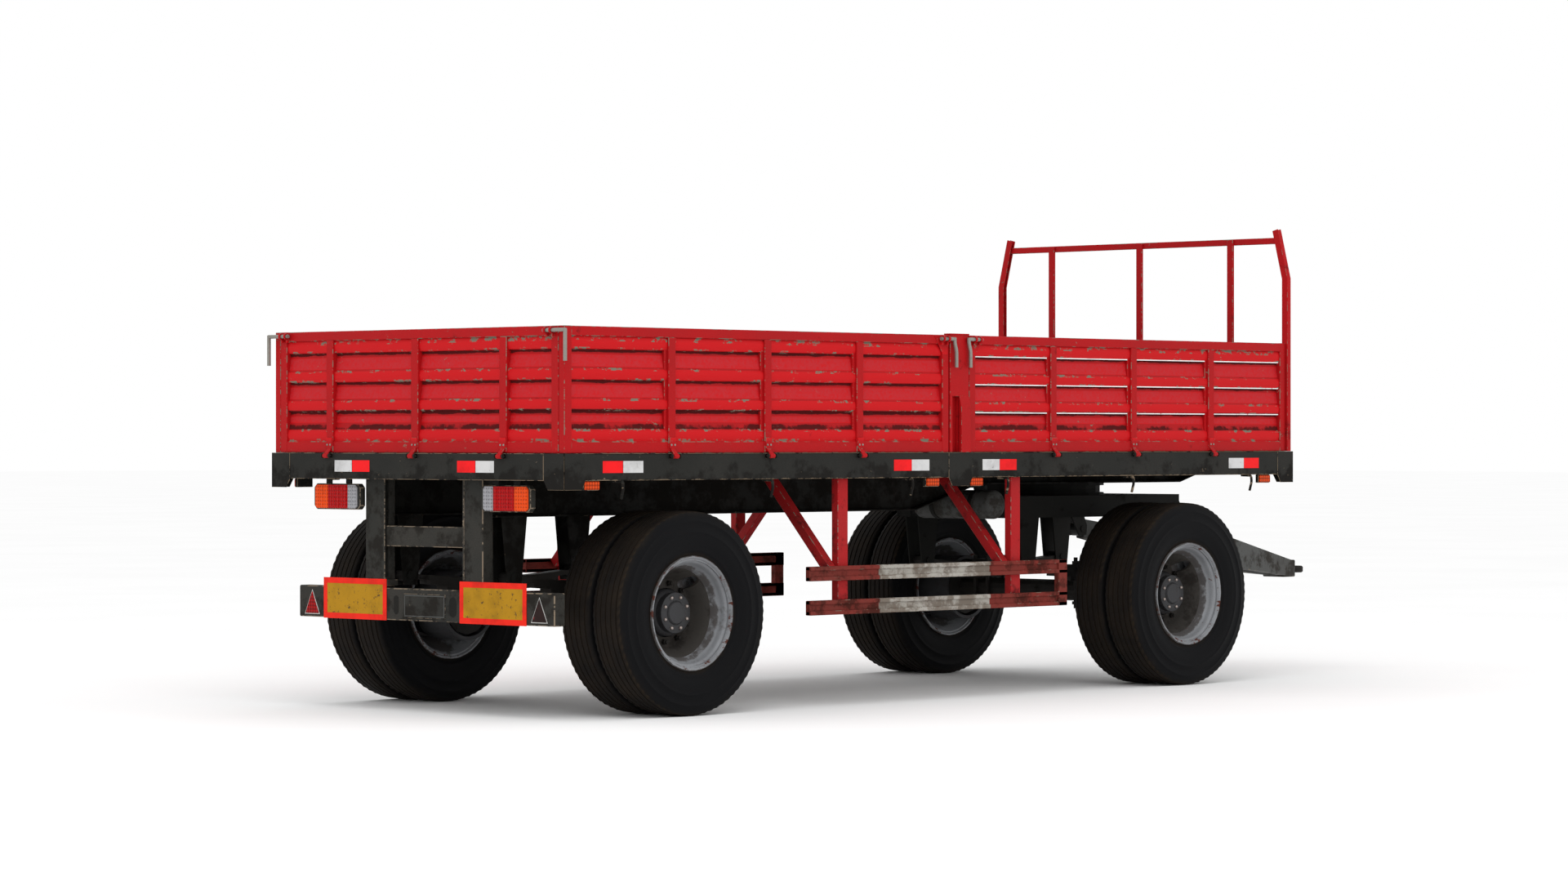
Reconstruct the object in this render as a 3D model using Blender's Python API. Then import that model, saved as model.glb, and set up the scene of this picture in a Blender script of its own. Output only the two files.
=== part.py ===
"""Two-axle drawbar trailer with a drop-side steel body, on dual wheels.

Metres, +X towards the drawbar, +Y to the left, +Z up.  The origin is on the ground
under the middle of the trailer's bounding box.  Places along the trailer are given as
distances forward of the tailgate's outer face and turned into world X by at().
"""
import math

import bmesh
import bpy
from mathutils import Matrix, Vector

# ---------------------------------------------------------------- driving dimensions
FIT = 0.0005                    # gap between neighbouring pieces
RUN = 0.002                     # side gap beside a moving or sprung piece
LAP = 0.004                     # how far solids run into each other where they join

BODY_LENGTH = 6.31              # tailgate face to headboard face
BODY_WIDTH = 2.40               # over the closed side boards
BOARD_HEIGHT = 0.683
BED_LIFT = 0.8785               # underside of the boards above the axles
BOARD_THICK = 0.045
BAY_GAP = 0.180                 # space for the middle post between two side boards
BAY_SPLIT = 3.158               # middle of that space

FRAME_PROUD = 0.015             # the bed frame stands out from the boards by this
RAIL_DEPTH = 0.146
RAIL_FLANGE = 0.060
RAIL_WALL = 0.008
GUSSET_DEPTH = 0.196            # corner and pocket plates hang below the rail
GUSSET_LENGTH = 0.160
GUSSET_WALL = 0.006
PLATE_PROUD = 0.003             # those plates stand out from the rail's web by this

FLOOR_THICK = 0.030
FLOOR_DROP = 0.012              # the floor starts this far under the rail's top flange
CROSS_HEIGHT = 0.084
CROSS_WIDTH = 0.070
BEAM_Y = 0.430                  # main beams, side to side
BEAM_FLANGE = 0.120
BEAM_WALL = 0.010
BEAM_DEEP_DROP = 0.3515         # underside of the deep rear stretch below the boards
BEAM_SHALLOW_DROP = 0.1995      # underside over the turntable
BEAM_REAR = 0.160               # rear end, just in front of the underrun bumper
BEAM_SHORT = 0.060              # front end behind the headboard's face
BEAM_DEEP_END = 3.570
BEAM_TAPER_END = 4.140
BEAM_NOSE_TAPER = 0.160
BEAM_NOSE_RISE = 0.045

REAR_AXLE = 0.949
WHEELBASE = 4.323
TYRE_RADIUS = 0.563
TYRE_SHOULDER = 0.215           # width across the tread shoulders
TYRE_BULGE = 0.012              # sidewall bulge each side of the shoulders
DUAL_PITCH = 0.245              # between the middles of a pair of tyres
DUAL_Y = 0.990                  # middle of the pair
RIM_RADIUS = 0.3165             # over the rim flange
BEAD_RADIUS = 0.292
WHEEL_SIDES = 16
HUB_SIDES = 12
PIN_SIDES = 8

SPRING_HALF = 0.650             # axle to spring pin
SPRING_WIDTH = 0.090
SPRING_PACK = 0.100
SPRING_CAMBER = 0.035
LEAF_COUNT = 4
SPRING_PIN_RADIUS = 0.0195
AXLE_RADIUS = 0.065
SPINDLE_RADIUS = 0.050

RING_RADIUS = 0.410
RING_NECK = 0.385
RING_BORE = 0.300
RING_FLANGE = 0.016
RING_HEIGHT = 0.076             # both rings together
RING_SIDES = 20
DOLLY_HALF = 0.820
DOLLY_Y = 0.420
DOLLY_WIDTH = 0.114
DOLLY_DROP = 0.4115             # underside of the dolly below the boards

DRAWBAR_PIVOT = 0.868           # forward of the steering axis
DRAWBAR_PIVOT_LIFT = 0.367      # and above the axles
DRAWBAR_LENGTH = 1.680          # pivot to the coupling head's face
DRAWBAR_WIDTH = 0.070
TOW_EYE_Z = 0.636
TOW_EYE_RADIUS = 0.066
TOW_EYE_BORE = 0.025
TOW_EYE_THICK = 0.045

HINGE_OUTSET = 0.0145           # board hinge axis outside the frame's face
HINGE_DROP = 0.0165             # board hinge axis below the boards
KNUCKLE_RADIUS = 0.013
CHEEK_RADIUS = 0.0145           # hinge cheeks on the frame
HINGE_PIN_RADIUS = 0.006
STRAP_WIDTH = 0.052

# ---------------------------------------------------------------- derived places
AXLE_Z = TYRE_RADIUS
BOARD_BASE = AXLE_Z + BED_LIFT
HALF_WIDTH = BODY_WIDTH / 2
FRAME_Y = HALF_WIDTH + FRAME_PROUD
RAIL_TOP = BOARD_BASE - FIT
RAIL_BOTTOM = RAIL_TOP - RAIL_DEPTH
INSIDE_Y = HALF_WIDTH - BOARD_THICK
FLOOR_BOTTOM = RAIL_TOP - RAIL_WALL - FLOOR_DROP
FLOOR_TOP = FLOOR_BOTTOM + FLOOR_THICK
CROSS_TOP = FLOOR_BOTTOM - FIT
BEAM_TOP = CROSS_TOP - CROSS_HEIGHT - FIT
BEAM_DEEP_Z = BOARD_BASE - BEAM_DEEP_DROP
BEAM_SHALLOW_Z = BOARD_BASE - BEAM_SHALLOW_DROP
FRONT_AXLE = REAR_AXLE + WHEELBASE
SPRING_SEAT = AXLE_Z + AXLE_RADIUS + FIT
SPRING_EYE_Z = SPRING_SEAT + SPRING_PACK + SPRING_CAMBER - 0.010
RING_TOP = BEAM_SHALLOW_Z - FIT
RING_BOTTOM = RING_TOP - RING_HEIGHT
DOLLY_TOP = RING_BOTTOM - FIT
DOLLY_BOTTOM = BOARD_BASE - DOLLY_DROP
DRAWBAR_PIVOT_Z = AXLE_Z + DRAWBAR_PIVOT_LIFT
HINGE_Z = BOARD_BASE - HINGE_DROP
HINGE_Y = FRAME_Y + HINGE_OUTSET
TAIL_HINGE = -(FRAME_PROUD + HINGE_OUTSET)
DRAWBAR_PIVOT_AT = FRONT_AXLE + DRAWBAR_PIVOT
DRAWBAR_FACE = DRAWBAR_PIVOT_AT + DRAWBAR_LENGTH
EYE_FLANGE = 0.015
EYE_CENTRE = DRAWBAR_FACE + FIT + EYE_FLANGE + 0.010 + TOW_EYE_RADIUS
REARMOST = TAIL_HINGE - CHEEK_RADIUS
FOREMOST = EYE_CENTRE + TOW_EYE_RADIUS
MIDDLE = (REARMOST + FOREMOST) / 2

RIGHT = -1
LEFT = 1
SIDES = (("right", RIGHT), ("left", LEFT))


def at(distance):
    """World X of a place given forward of the tailgate's outer face."""
    return distance - MIDDLE


# ---------------------------------------------------------------- materials
def make_material(name, colour, roughness, metallic):
    """A plain Principled material."""
    material = bpy.data.materials.new(name)
    material.use_nodes = True
    shader = material.node_tree.nodes["Principled BSDF"]
    shader.inputs["Base Color"].default_value = (*colour, 1.0)
    shader.inputs["Roughness"].default_value = roughness
    shader.inputs["Metallic"].default_value = metallic
    return material


# ---------------------------------------------------------------- solids
def finish_solid(mesh):
    """Turn the faces of one closed solid outwards."""
    bmesh.ops.recalc_face_normals(mesh, faces=mesh.faces[:])
    return mesh


def box(x0, x1, y0, y1, z0, z1):
    """A box between two corners, given in any order."""
    mesh = bmesh.new()
    size = (abs(x1 - x0), abs(y1 - y0), abs(z1 - z0))
    centre = ((x0 + x1) / 2, (y0 + y1) / 2, (z0 + z1) / 2)
    bmesh.ops.create_cube(mesh, size=1.0)
    bmesh.ops.scale(mesh, vec=size, verts=mesh.verts[:])
    bmesh.ops.translate(mesh, vec=centre, verts=mesh.verts[:])
    return finish_solid(mesh)


def prism(outline, axis, start, end):
    """An outline extruded along an axis.

    The outline lies in YZ for axis X, in XZ for axis Y and in XY for axis Z.
    """
    lift = {
        "X": lambda p, q, a: (a, p, q),
        "Y": lambda p, q, a: (p, a, q),
        "Z": lambda p, q, a: (p, q, a),
    }[axis]
    mesh = bmesh.new()
    ring = [mesh.verts.new(lift(p, q, start)) for p, q in outline]
    face = mesh.faces.new(ring)
    grown = bmesh.ops.extrude_face_region(mesh, geom=[face])["geom"]
    far = [item for item in grown if isinstance(item, bmesh.types.BMVert)]
    step = Vector(lift(0, 0, end)) - Vector(lift(0, 0, start))
    bmesh.ops.translate(mesh, vec=step, verts=far)
    return finish_solid(mesh)


def turned(profile, axis, centre, sides=WHEEL_SIDES):
    """A closed (radius, along) profile spun round an axis through centre."""
    mesh = bmesh.new()
    verts = [mesh.verts.new((radius, 0.0, along)) for radius, along in profile]
    for first, second in zip(verts, verts[1:] + verts[:1]):
        mesh.edges.new((first, second))
    bmesh.ops.spin(mesh, geom=mesh.verts[:] + mesh.edges[:], cent=(0, 0, 0),
                   axis=(0, 0, 1), angle=math.tau, steps=sides, use_merge=True)
    bmesh.ops.remove_doubles(mesh, verts=mesh.verts[:], dist=0.00001)
    loose = [edge for edge in mesh.edges if not edge.link_faces]
    bmesh.ops.delete(mesh, geom=loose, context="EDGES")
    turn = {"X": Matrix.Rotation(math.pi / 2, 4, "Y"),
            "Y": Matrix.Rotation(-math.pi / 2, 4, "X"),
            "Z": Matrix.Identity(4)}[axis]
    bmesh.ops.transform(mesh, matrix=Matrix.Translation(centre) @ turn, verts=mesh.verts[:])
    return finish_solid(mesh)


def cylinder(axis, centre, radius, half, sides=PIN_SIDES):
    """A solid cylinder centred on a point."""
    return turned([(0, -half), (radius, -half), (radius, half), (0, half)],
                  axis, centre, sides)


def tube(axis, centre, radius, bore, half, sides=PIN_SIDES):
    """A cylinder with a hole along it."""
    return turned([(bore, -half), (radius, -half), (radius, half), (bore, half)],
                  axis, centre, sides)


def loft(sections):
    """A solid through rings of corner points, closed at both ends."""
    mesh = bmesh.new()
    rings = [[mesh.verts.new(point) for point in section] for section in sections]
    for lower, upper in zip(rings, rings[1:]):
        for i in range(len(lower)):
            j = (i + 1) % len(lower)
            mesh.faces.new((lower[i], lower[j], upper[j], upper[i]))
    mesh.faces.new(rings[0])
    mesh.faces.new(rings[-1])
    return finish_solid(mesh)


def bar(points, width, height=None, sides=4, up=(0, 0, 1)):
    """A bar swept along a path, square or many-sided, mitred at its bends."""
    height = height or width
    path = [Vector(point) for point in points]
    steps = [(b - a).normalized() for a, b in zip(path, path[1:])]
    offset = math.pi / sides
    reach = 1 / math.cos(offset)
    sections = []
    for i, point in enumerate(path):
        before = steps[max(i - 1, 0)]
        after = steps[min(i, len(steps) - 1)]
        along = (before + after).normalized()
        stretch = 1 / max(along.dot(after), 0.5)
        across = after.cross(Vector(up)).normalized()
        if i == len(path) - 1:
            across = before.cross(Vector(up)).normalized()
        rise = across.cross(along).normalized()
        ring = []
        for k in range(sides):
            angle = offset + k * math.tau / sides
            right = math.cos(angle) * reach * width / 2
            high = math.sin(angle) * reach * height / 2 * stretch
            ring.append(point + across * right + rise * high)
        sections.append(ring)
    return loft(sections)


def moved(solid, matrix):
    """The solid carried by a matrix, with its faces kept outwards."""
    bmesh.ops.transform(solid, matrix=matrix, verts=solid.verts[:])
    return finish_solid(solid)


# ---------------------------------------------------------------- objects
def mesh_object(name, solid):
    """A temporary or final object from a bmesh."""
    data = bpy.data.meshes.new(name)
    solid.to_mesh(data)
    solid.free()
    thing = bpy.data.objects.new(name, data)
    bpy.context.scene.collection.objects.link(thing)
    return thing


def united(name, solids):
    """One closed mesh object from solids that overlap each other."""
    body = mesh_object(name, solids[0])
    if len(solids) == 1:
        return body
    others = bpy.data.collections.new(name + "_pieces")
    helpers = []
    for index, solid in enumerate(solids[1:]):
        helper = mesh_object(f"{name}_piece_{index}", solid)
        bpy.context.scene.collection.objects.unlink(helper)
        others.objects.link(helper)
        helpers.append(helper)
    bpy.context.scene.collection.children.link(others)
    join = body.modifiers.new("join", "BOOLEAN")
    join.operation = "UNION"
    join.operand_type = "COLLECTION"
    join.collection = others
    join.solver = "EXACT"
    bpy.context.view_layer.update()
    graph = bpy.context.evaluated_depsgraph_get()
    result = bpy.data.meshes.new_from_object(body.evaluated_get(graph))
    body.modifiers.remove(join)
    body.data = result
    for helper in helpers:
        bpy.data.objects.remove(helper, do_unlink=True)
    bpy.data.collections.remove(others)
    tidy = bmesh.new()
    tidy.from_mesh(result)
    bmesh.ops.remove_doubles(tidy, verts=tidy.verts[:], dist=0.00002)
    bmesh.ops.dissolve_limit(tidy, angle_limit=math.radians(0.3), verts=tidy.verts[:],
                             edges=tidy.edges[:], use_dissolve_boundaries=False)
    bmesh.ops.triangulate(tidy, faces=tidy.faces[:])
    tidy.to_mesh(result)
    tidy.free()
    return body


def node(name, solids, material, pivot=(0, 0, 0), parent=None, smooth=False):
    """A finished sub-part: joined, coloured and with its origin on its pivot."""
    thing = united(name, solids)
    thing.data.transform(Matrix.Translation(-Vector(pivot)))
    thing.data.materials.clear()
    thing.data.materials.append(material)
    if smooth:
        thing.data.shade_smooth()
        thing.data.set_sharp_from_angle(angle=math.radians(32))
    if parent is None:
        thing.location = pivot
    else:
        thing.parent = parent
        thing.location = Vector(pivot) - parent.location
    return thing


def pivot_empty(name, place):
    """An empty on a joint's axis that carries every sub-part of one moving body."""
    empty = bpy.data.objects.new(name, None)
    empty.empty_display_size = 0.1
    empty.location = place
    bpy.context.scene.collection.objects.link(empty)
    bpy.context.view_layer.update()
    return empty


# ---------------------------------------------------------------- boards
TOP_RAIL = 0.053
BOTTOM_RAIL = 0.063
BAND_FIRST = 0.070              # underside of the lowest raised band
BAND_PITCH = 0.164
BAND_HEIGHT = 0.056
BAND_FACE = BOARD_THICK - 0.007
RECESS_SHALLOW = BOARD_THICK - 0.019
RECESS_DEEP = BOARD_THICK - 0.029
RECESS_LIP = 0.009
RECESS_COUNT = 3
STILE_WIDTH = 0.055
RIB_WIDTH = 0.055
RIB_FACE = BOARD_THICK + 0.003
RIB_PITCH = 0.752
TAIL_RIB_PITCH = 0.720
STRAP_HEIGHT = 0.085
STRAP_THICK = 0.006
KNUCKLE_DEPTH = BOARD_THICK + FRAME_PROUD + HINGE_OUTSET

LATCH_OUT = 0.022               # latch rod's axis off the board's face
LATCH_DROP = 0.024              # and below the board's top
LATCH_RADIUS = 0.011
LATCH_EYE_RADIUS = 0.019
LATCH_EYE_BORE = 0.0120
LATCH_EYE_HALF = 0.007
LATCH_LEG_HALF = 0.006
LATCH_LEG_DROP = 0.034
LATCH_HANDLE = 0.165
LATCH_BEND = 0.012
LATCH_END = 0.018               # the rod's end past its last eye
EYE_SPACING = 0.045
POST_TO_LATCH = 0.050           # board end to the middle of a side latch's eyes
LATCH_REACH = 0.028             # a side latch's corner past its board's end
TAIL_EYE = 0.030                # tailgate end to its outer latch eye
TAIL_LATCH_PROUD = 0.030        # a tailgate latch's corner outside the side boards


def panel_outline():
    """Section of the pressed sheet as (depth, height), flat inside, banded outside."""
    points = [(0.0, 0.0), (BOARD_THICK - 0.003, 0.0), (BOARD_THICK - 0.003, BOTTOM_RAIL)]
    for index in range(RECESS_COUNT):
        low = BAND_FIRST + index * BAND_PITCH
        high = low + BAND_HEIGHT
        points.append((BAND_FACE, low))
        points.append((BAND_FACE, high))
        points.append((RECESS_SHALLOW, high + RECESS_LIP))
        points.append((RECESS_DEEP, low + BAND_PITCH - RECESS_LIP))
    points.append((BAND_FACE, BAND_FIRST + RECESS_COUNT * BAND_PITCH))
    points.append((BAND_FACE, BOARD_HEIGHT - TOP_RAIL - 0.006))
    points.append((BOARD_THICK, BOARD_HEIGHT - TOP_RAIL))
    points.append((BOARD_THICK, BOARD_HEIGHT))
    points.append((0.0, BOARD_HEIGHT))
    return points


def strap_outline():
    """Section of a hinge strap as (depth, height), cranked out to its knuckle."""
    return [
        (BOARD_THICK - 0.001, STRAP_HEIGHT),
        (RIB_FACE + STRAP_THICK, STRAP_HEIGHT),
        (RIB_FACE + STRAP_THICK, 0.022),
        (KNUCKLE_DEPTH + 0.008, -HINGE_DROP + 0.007),
        (KNUCKLE_DEPTH - 0.007, -HINGE_DROP + 0.009),
        (BOARD_THICK + FRAME_PROUD + 0.002, 0.003),
        (BOARD_THICK - 0.001, 0.008),
    ]


def board_solids(length, ribs, hinged=True, eyes=()):
    """A ribbed drop board lying along X, its outside towards -Y.

    The inside bottom edge starts at the origin.  Eyes are places along the board where
    a latch rod's eyes stand on its face.
    """
    outline = [(-depth, height) for depth, height in panel_outline()]
    solids = [prism(outline, "X", LAP, length - LAP)]
    for start in (0.0, length - STILE_WIDTH):
        solids.append(box(start, start + STILE_WIDTH, 0, -BOARD_THICK, 0, BOARD_HEIGHT))
    for place in ribs:
        solids.append(box(place - RIB_WIDTH / 2, place + RIB_WIDTH / 2,
                          -LAP, -RIB_FACE, LAP, BOARD_HEIGHT - TOP_RAIL + LAP / 2))
        if hinged:
            strap = [(-depth, height) for depth, height in strap_outline()]
            solids.append(prism(strap, "X", place - STRAP_WIDTH / 2, place + STRAP_WIDTH / 2))
            solids.append(tube("X", (place, -KNUCKLE_DEPTH, -HINGE_DROP), KNUCKLE_RADIUS,
                               HINGE_PIN_RADIUS + 0.0010, STRAP_WIDTH / 2 - 0.001))
    height = BOARD_HEIGHT - LATCH_DROP
    for place in eyes:
        solids.append(tube("X", (place, -BOARD_THICK - LATCH_OUT, height),
                           LATCH_EYE_RADIUS, LATCH_EYE_BORE, LATCH_EYE_HALF))
        solids.append(box(place - LATCH_LEG_HALF, place + LATCH_LEG_HALF,
                          -BOARD_THICK + 0.010, -BOARD_THICK - LATCH_OUT - LAP,
                          height - LATCH_LEG_DROP, height - LATCH_EYE_BORE - 0.002))
    return solids


def placed(solids, x, y, z, turn=0.0):
    """Solids turned about Z and carried to a place."""
    matrix = Matrix.Translation((x, y, z)) @ Matrix.Rotation(turn, 4, "Z")
    return [moved(solid, matrix) for solid in solids]


def side_board(name, side, start, end, rib_places, latch_at, material):
    """One drop side with its hinge line as its origin; returns the object."""
    length = end - start
    eyes = [latch_at - start + shift for shift in (-EYE_SPACING / 2, EYE_SPACING / 2)]
    ribs = [place - start for place in rib_places]
    if side == LEFT:
        ribs = [length - place for place in ribs]
        eyes = [length - place for place in eyes]
        solids = placed(board_solids(length, ribs, eyes=eyes),
                        at(end), INSIDE_Y, BOARD_BASE, math.pi)
    else:
        solids = placed(board_solids(length, ribs, eyes=eyes),
                        at(start), -INSIDE_Y, BOARD_BASE)
    pivot = (at((start + end) / 2), side * HINGE_Y, HINGE_Z)
    return node(name, solids, material, pivot)


def latch_rod(name, rod_from, corner, hang, material, parent):
    """A bent latch rod: a straight stretch in its eyes and a hanging handle."""
    corner = Vector(corner)
    bend = Vector(hang) * LATCH_BEND
    across_flats = 2 * LATCH_RADIUS * 0.9
    straight = bar([rod_from, corner], across_flats, sides=PIN_SIDES)
    top = corner + Vector((0, 0, LATCH_RADIUS * 0.8))
    knee = corner + bend - Vector((0, 0, LATCH_HANDLE * 0.35))
    tip = corner + bend - Vector((0, 0, LATCH_HANDLE))
    handle = bar([top, knee, tip], across_flats, sides=PIN_SIDES, up=(1, 0.3, 0))
    return node(name, [straight, handle], material, corner, parent)


# ---------------------------------------------------------------- bed frame
HOOK_PLACES = (0.42, 1.58, 2.74)
HOOK_RADIUS = 0.008
HOOK_DROP = 0.096
HOOK_LENGTH = 0.080
HOOK_PROUD = 0.002
MARKER_LENGTH = 0.115
MARKER_HEIGHT = 0.050
MARKER_DEPTH = 0.034
MARKER_BACK = 0.006
MARKER_OFFSETS = (0.200, 2.926)
CHEEK_THICK = 0.008
FRONT_BAY = BAY_SPLIT + BAY_GAP / 2
REAR_BAY = BAY_SPLIT - BAY_GAP / 2
SIDE_BOARD_START = 0.001        # side boards begin just inside the tailgate's face
FRONT_BOARD_END = BODY_LENGTH - BOARD_THICK - RUN
RIB_TO_POST = 0.758             # nearest rib to the end of its board
REAR_RIBS = [REAR_BAY - RIB_TO_POST - i * RIB_PITCH for i in range(3)]
FRONT_RIBS = [FRONT_BAY + RIB_TO_POST + i * RIB_PITCH for i in range(3)]
TAIL_RIBS = [i * TAIL_RIB_PITCH for i in (-1, 0, 1)]


def hinge_bracket(place, face, turn, z):
    """Two cheeks and a pin that carry one board knuckle, made for a face towards -Y."""
    round_part = []
    for step in range(5):
        angle = math.pi / 2 + step * math.pi / 4
        round_part.append((-HINGE_OUTSET + CHEEK_RADIUS * math.cos(angle),
                           CHEEK_RADIUS * math.sin(angle)))
    outline = [(0.004, CHEEK_RADIUS)] + round_part + [(0.004, -CHEEK_RADIUS)]
    inner = STRAP_WIDTH / 2 + RUN
    solids = []
    for start in (-inner - CHEEK_THICK, inner):
        solids.append(prism(outline, "X", start, start + CHEEK_THICK))
    solids.append(cylinder("X", (0, -HINGE_OUTSET, 0), HINGE_PIN_RADIUS, inner + CHEEK_THICK))
    return placed(solids, place, face, z, turn)


def gusset_plate(start, end, chamfer_start=True, chamfer_end=True):
    """Outline in XZ of a plate over the rail that hangs below it."""
    top = RAIL_TOP
    low = RAIL_TOP - GUSSET_DEPTH
    cut = GUSSET_DEPTH - RAIL_DEPTH
    points = [(at(start), top)]
    points.append((at(start), low + (cut if chamfer_start else 0)))
    if chamfer_start:
        points.append((at(start + cut * 0.6), low))
    points.append((at(end - (cut * 0.6 if chamfer_end else 0)), low))
    if chamfer_end:
        points.append((at(end), low + cut))
    points.append((at(end), top))
    return points


def side_rail(name, side, material):
    """The channel along one side, with its plates, hinge brackets, hooks and lamp blocks."""
    web = FRAME_Y - PLATE_PROUD
    outline = [
        (web, RAIL_BOTTOM), (web, RAIL_TOP), (FRAME_Y - RAIL_FLANGE, RAIL_TOP),
        (FRAME_Y - RAIL_FLANGE, RAIL_TOP - RAIL_WALL), (web - RAIL_WALL, RAIL_TOP - RAIL_WALL),
        (web - RAIL_WALL, RAIL_BOTTOM + RAIL_WALL),
        (FRAME_Y - RAIL_FLANGE, RAIL_BOTTOM + RAIL_WALL), (FRAME_Y - RAIL_FLANGE, RAIL_BOTTOM),
    ]
    outline = [(side * y, z) for y, z in outline]
    rear = -FRAME_PROUD
    front = BODY_LENGTH + FRAME_PROUD
    solids = [prism(outline, "X", at(rear + PLATE_PROUD), at(front - PLATE_PROUD))]
    faces = (side * FRAME_Y, side * (FRAME_Y - GUSSET_WALL))
    solids.append(prism(gusset_plate(rear, rear + GUSSET_LENGTH, False), "Y", *faces))
    solids.append(prism(gusset_plate(front - GUSSET_LENGTH, front, True, False), "Y", *faces))
    pocket = GUSSET_LENGTH * 0.65
    solids.append(prism(gusset_plate(BAY_SPLIT - pocket, BAY_SPLIT + pocket), "Y", *faces))
    low = RAIL_TOP - GUSSET_DEPTH
    cut = GUSSET_DEPTH - RAIL_DEPTH
    inner = FRAME_Y - GUSSET_LENGTH
    wrap = [(FRAME_Y, RAIL_TOP), (FRAME_Y, low), (inner + cut * 0.6, low),
            (inner, low + cut), (inner, RAIL_TOP)]
    wrap = [(side * y, z) for y, z in wrap]
    solids.append(prism(wrap, "X", at(rear), at(rear + GUSSET_WALL)))
    solids.append(prism(wrap, "X", at(front - GUSSET_WALL), at(front)))
    turn = math.pi if side == LEFT else 0.0
    for place in REAR_RIBS + FRONT_RIBS:
        solids += hinge_bracket(at(place), side * FRAME_Y, turn, HINGE_Z)
    under = RAIL_BOTTOM
    hook_y = FRAME_Y + HOOK_PROUD
    for place in HOOK_PLACES:
        for x in (at(place), at(2 * BAY_SPLIT - place)):
            path = [(x, side * (hook_y - HOOK_LENGTH), under),
                    (x, side * (hook_y - 0.022), under - 0.002),
                    (x, side * hook_y, under - 0.022),
                    (x, side * (hook_y - 0.016), under - HOOK_DROP)]
            solids.append(bar(path, 2 * HOOK_RADIUS, up=(1, 0, 0)))
    for place in MARKER_OFFSETS:
        for middle in (place, 2 * BAY_SPLIT - place):
            solids.append(box(at(middle - MARKER_LENGTH / 2), at(middle + MARKER_LENGTH / 2),
                              side * (FRAME_Y - MARKER_BACK),
                              side * (FRAME_Y - MARKER_BACK - MARKER_DEPTH),
                              RAIL_BOTTOM + LAP, RAIL_BOTTOM - MARKER_HEIGHT))
    return node(name, solids, material)


def sill(name, face, direction, hinges, material):
    """The channel across one end of the bed; direction points into the bed."""
    start = face + direction * (GUSSET_WALL + FIT)
    half = FRAME_Y - RAIL_FLANGE - FIT
    x0 = start
    x1 = start + direction * RAIL_WALL
    x2 = start + direction * RAIL_FLANGE
    outline = [
        (at(x0), RAIL_BOTTOM), (at(x0), RAIL_TOP), (at(x2), RAIL_TOP),
        (at(x2), RAIL_TOP - RAIL_WALL), (at(x1), RAIL_TOP - RAIL_WALL),
        (at(x1), RAIL_BOTTOM + RAIL_WALL), (at(x2), RAIL_BOTTOM + RAIL_WALL),
        (at(x2), RAIL_BOTTOM),
    ]
    solids = [prism(outline, "Y", -half, half)]
    if hinges:
        clear = FRAME_Y - GUSSET_LENGTH - RUN
        solids.append(box(at(face), at(start + direction * PLATE_PROUD), -clear, clear,
                          RAIL_BOTTOM, RAIL_TOP))
        for place in TAIL_RIBS:
            solids += hinge_bracket(at(face), place, -math.pi / 2, HINGE_Z)
    return node(name, solids, material)


def beam_underside():
    """The main beam's underside as (distance, height)."""
    front = BODY_LENGTH - BEAM_SHORT
    return [
        (BEAM_REAR, BEAM_DEEP_Z), (BEAM_DEEP_END, BEAM_DEEP_Z),
        (BEAM_TAPER_END, BEAM_SHALLOW_Z), (front - BEAM_NOSE_TAPER, BEAM_SHALLOW_Z),
        (front, BEAM_SHALLOW_Z + BEAM_NOSE_RISE),
    ]


HANGER_HALF = 0.095
HANGER_WALL = 0.008
HANGER_DROP = 0.055


def spring_hanger(place, y, top):
    """Two cheeks and the spring pin of one hanger, hanging from a beam."""
    gap = SPRING_WIDTH / 2 + RUN
    outline = [
        (at(place - HANGER_HALF), top), (at(place + HANGER_HALF), top),
        (at(place + HANGER_HALF * 0.55), SPRING_EYE_Z - HANGER_DROP),
        (at(place - HANGER_HALF * 0.55), SPRING_EYE_Z - HANGER_DROP),
    ]
    solids = []
    for start in (y - gap - HANGER_WALL, y + gap):
        solids.append(prism(outline, "Y", start, start + HANGER_WALL))
    solids.append(cylinder("Y", (at(place), y, SPRING_EYE_Z), SPRING_PIN_RADIUS,
                           gap + HANGER_WALL + 0.006))
    return solids


def main_beam(name, side, material):
    """One tapered I-beam of the chassis, with its two rear spring hangers."""
    y = side * BEAM_Y
    flange = BEAM_FLANGE / 2
    wall = BEAM_WALL
    under = beam_underside()
    rear, front = under[0][0], under[-1][0]
    web = [(at(d), z) for d, z in under] + [(at(front), BEAM_TOP), (at(rear), BEAM_TOP)]
    lower = [(at(d), z) for d, z in under] + [(at(d), z + wall) for d, z in reversed(under)]
    solids = [
        prism(web, "Y", y - wall / 2, y + wall / 2),
        prism(lower, "Y", y - flange, y + flange),
        box(at(rear), at(front), y - flange, y + flange, BEAM_TOP - wall, BEAM_TOP),
    ]
    for place in (REAR_AXLE - SPRING_HALF, REAR_AXLE + SPRING_HALF):
        solids += spring_hanger(place, y, BEAM_DEEP_Z + LAP)
    return node(name, solids, material)


CROSS_PLACES = (0.105, 2.130, 3.620, 6.150)
CROSS_WALL = 0.006


def cross_member(index, place, material):
    """A channel across the bed, resting on the main beams and in the side rails."""
    half = FRAME_Y - PLATE_PROUD - RAIL_WALL - FIT
    x0, x1 = at(place - CROSS_WIDTH / 2), at(place + CROSS_WIDTH / 2)
    low, high = BEAM_TOP + FIT, CROSS_TOP
    wall = CROSS_WALL
    outline = [(x0, low), (x0, high), (x1, high), (x1, high - wall), (x0 + wall, high - wall),
               (x0 + wall, low + wall), (x1, low + wall), (x1, low)]
    return node(f"cross_member_{index}", [prism(outline, "Y", -half, half)], material)


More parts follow.
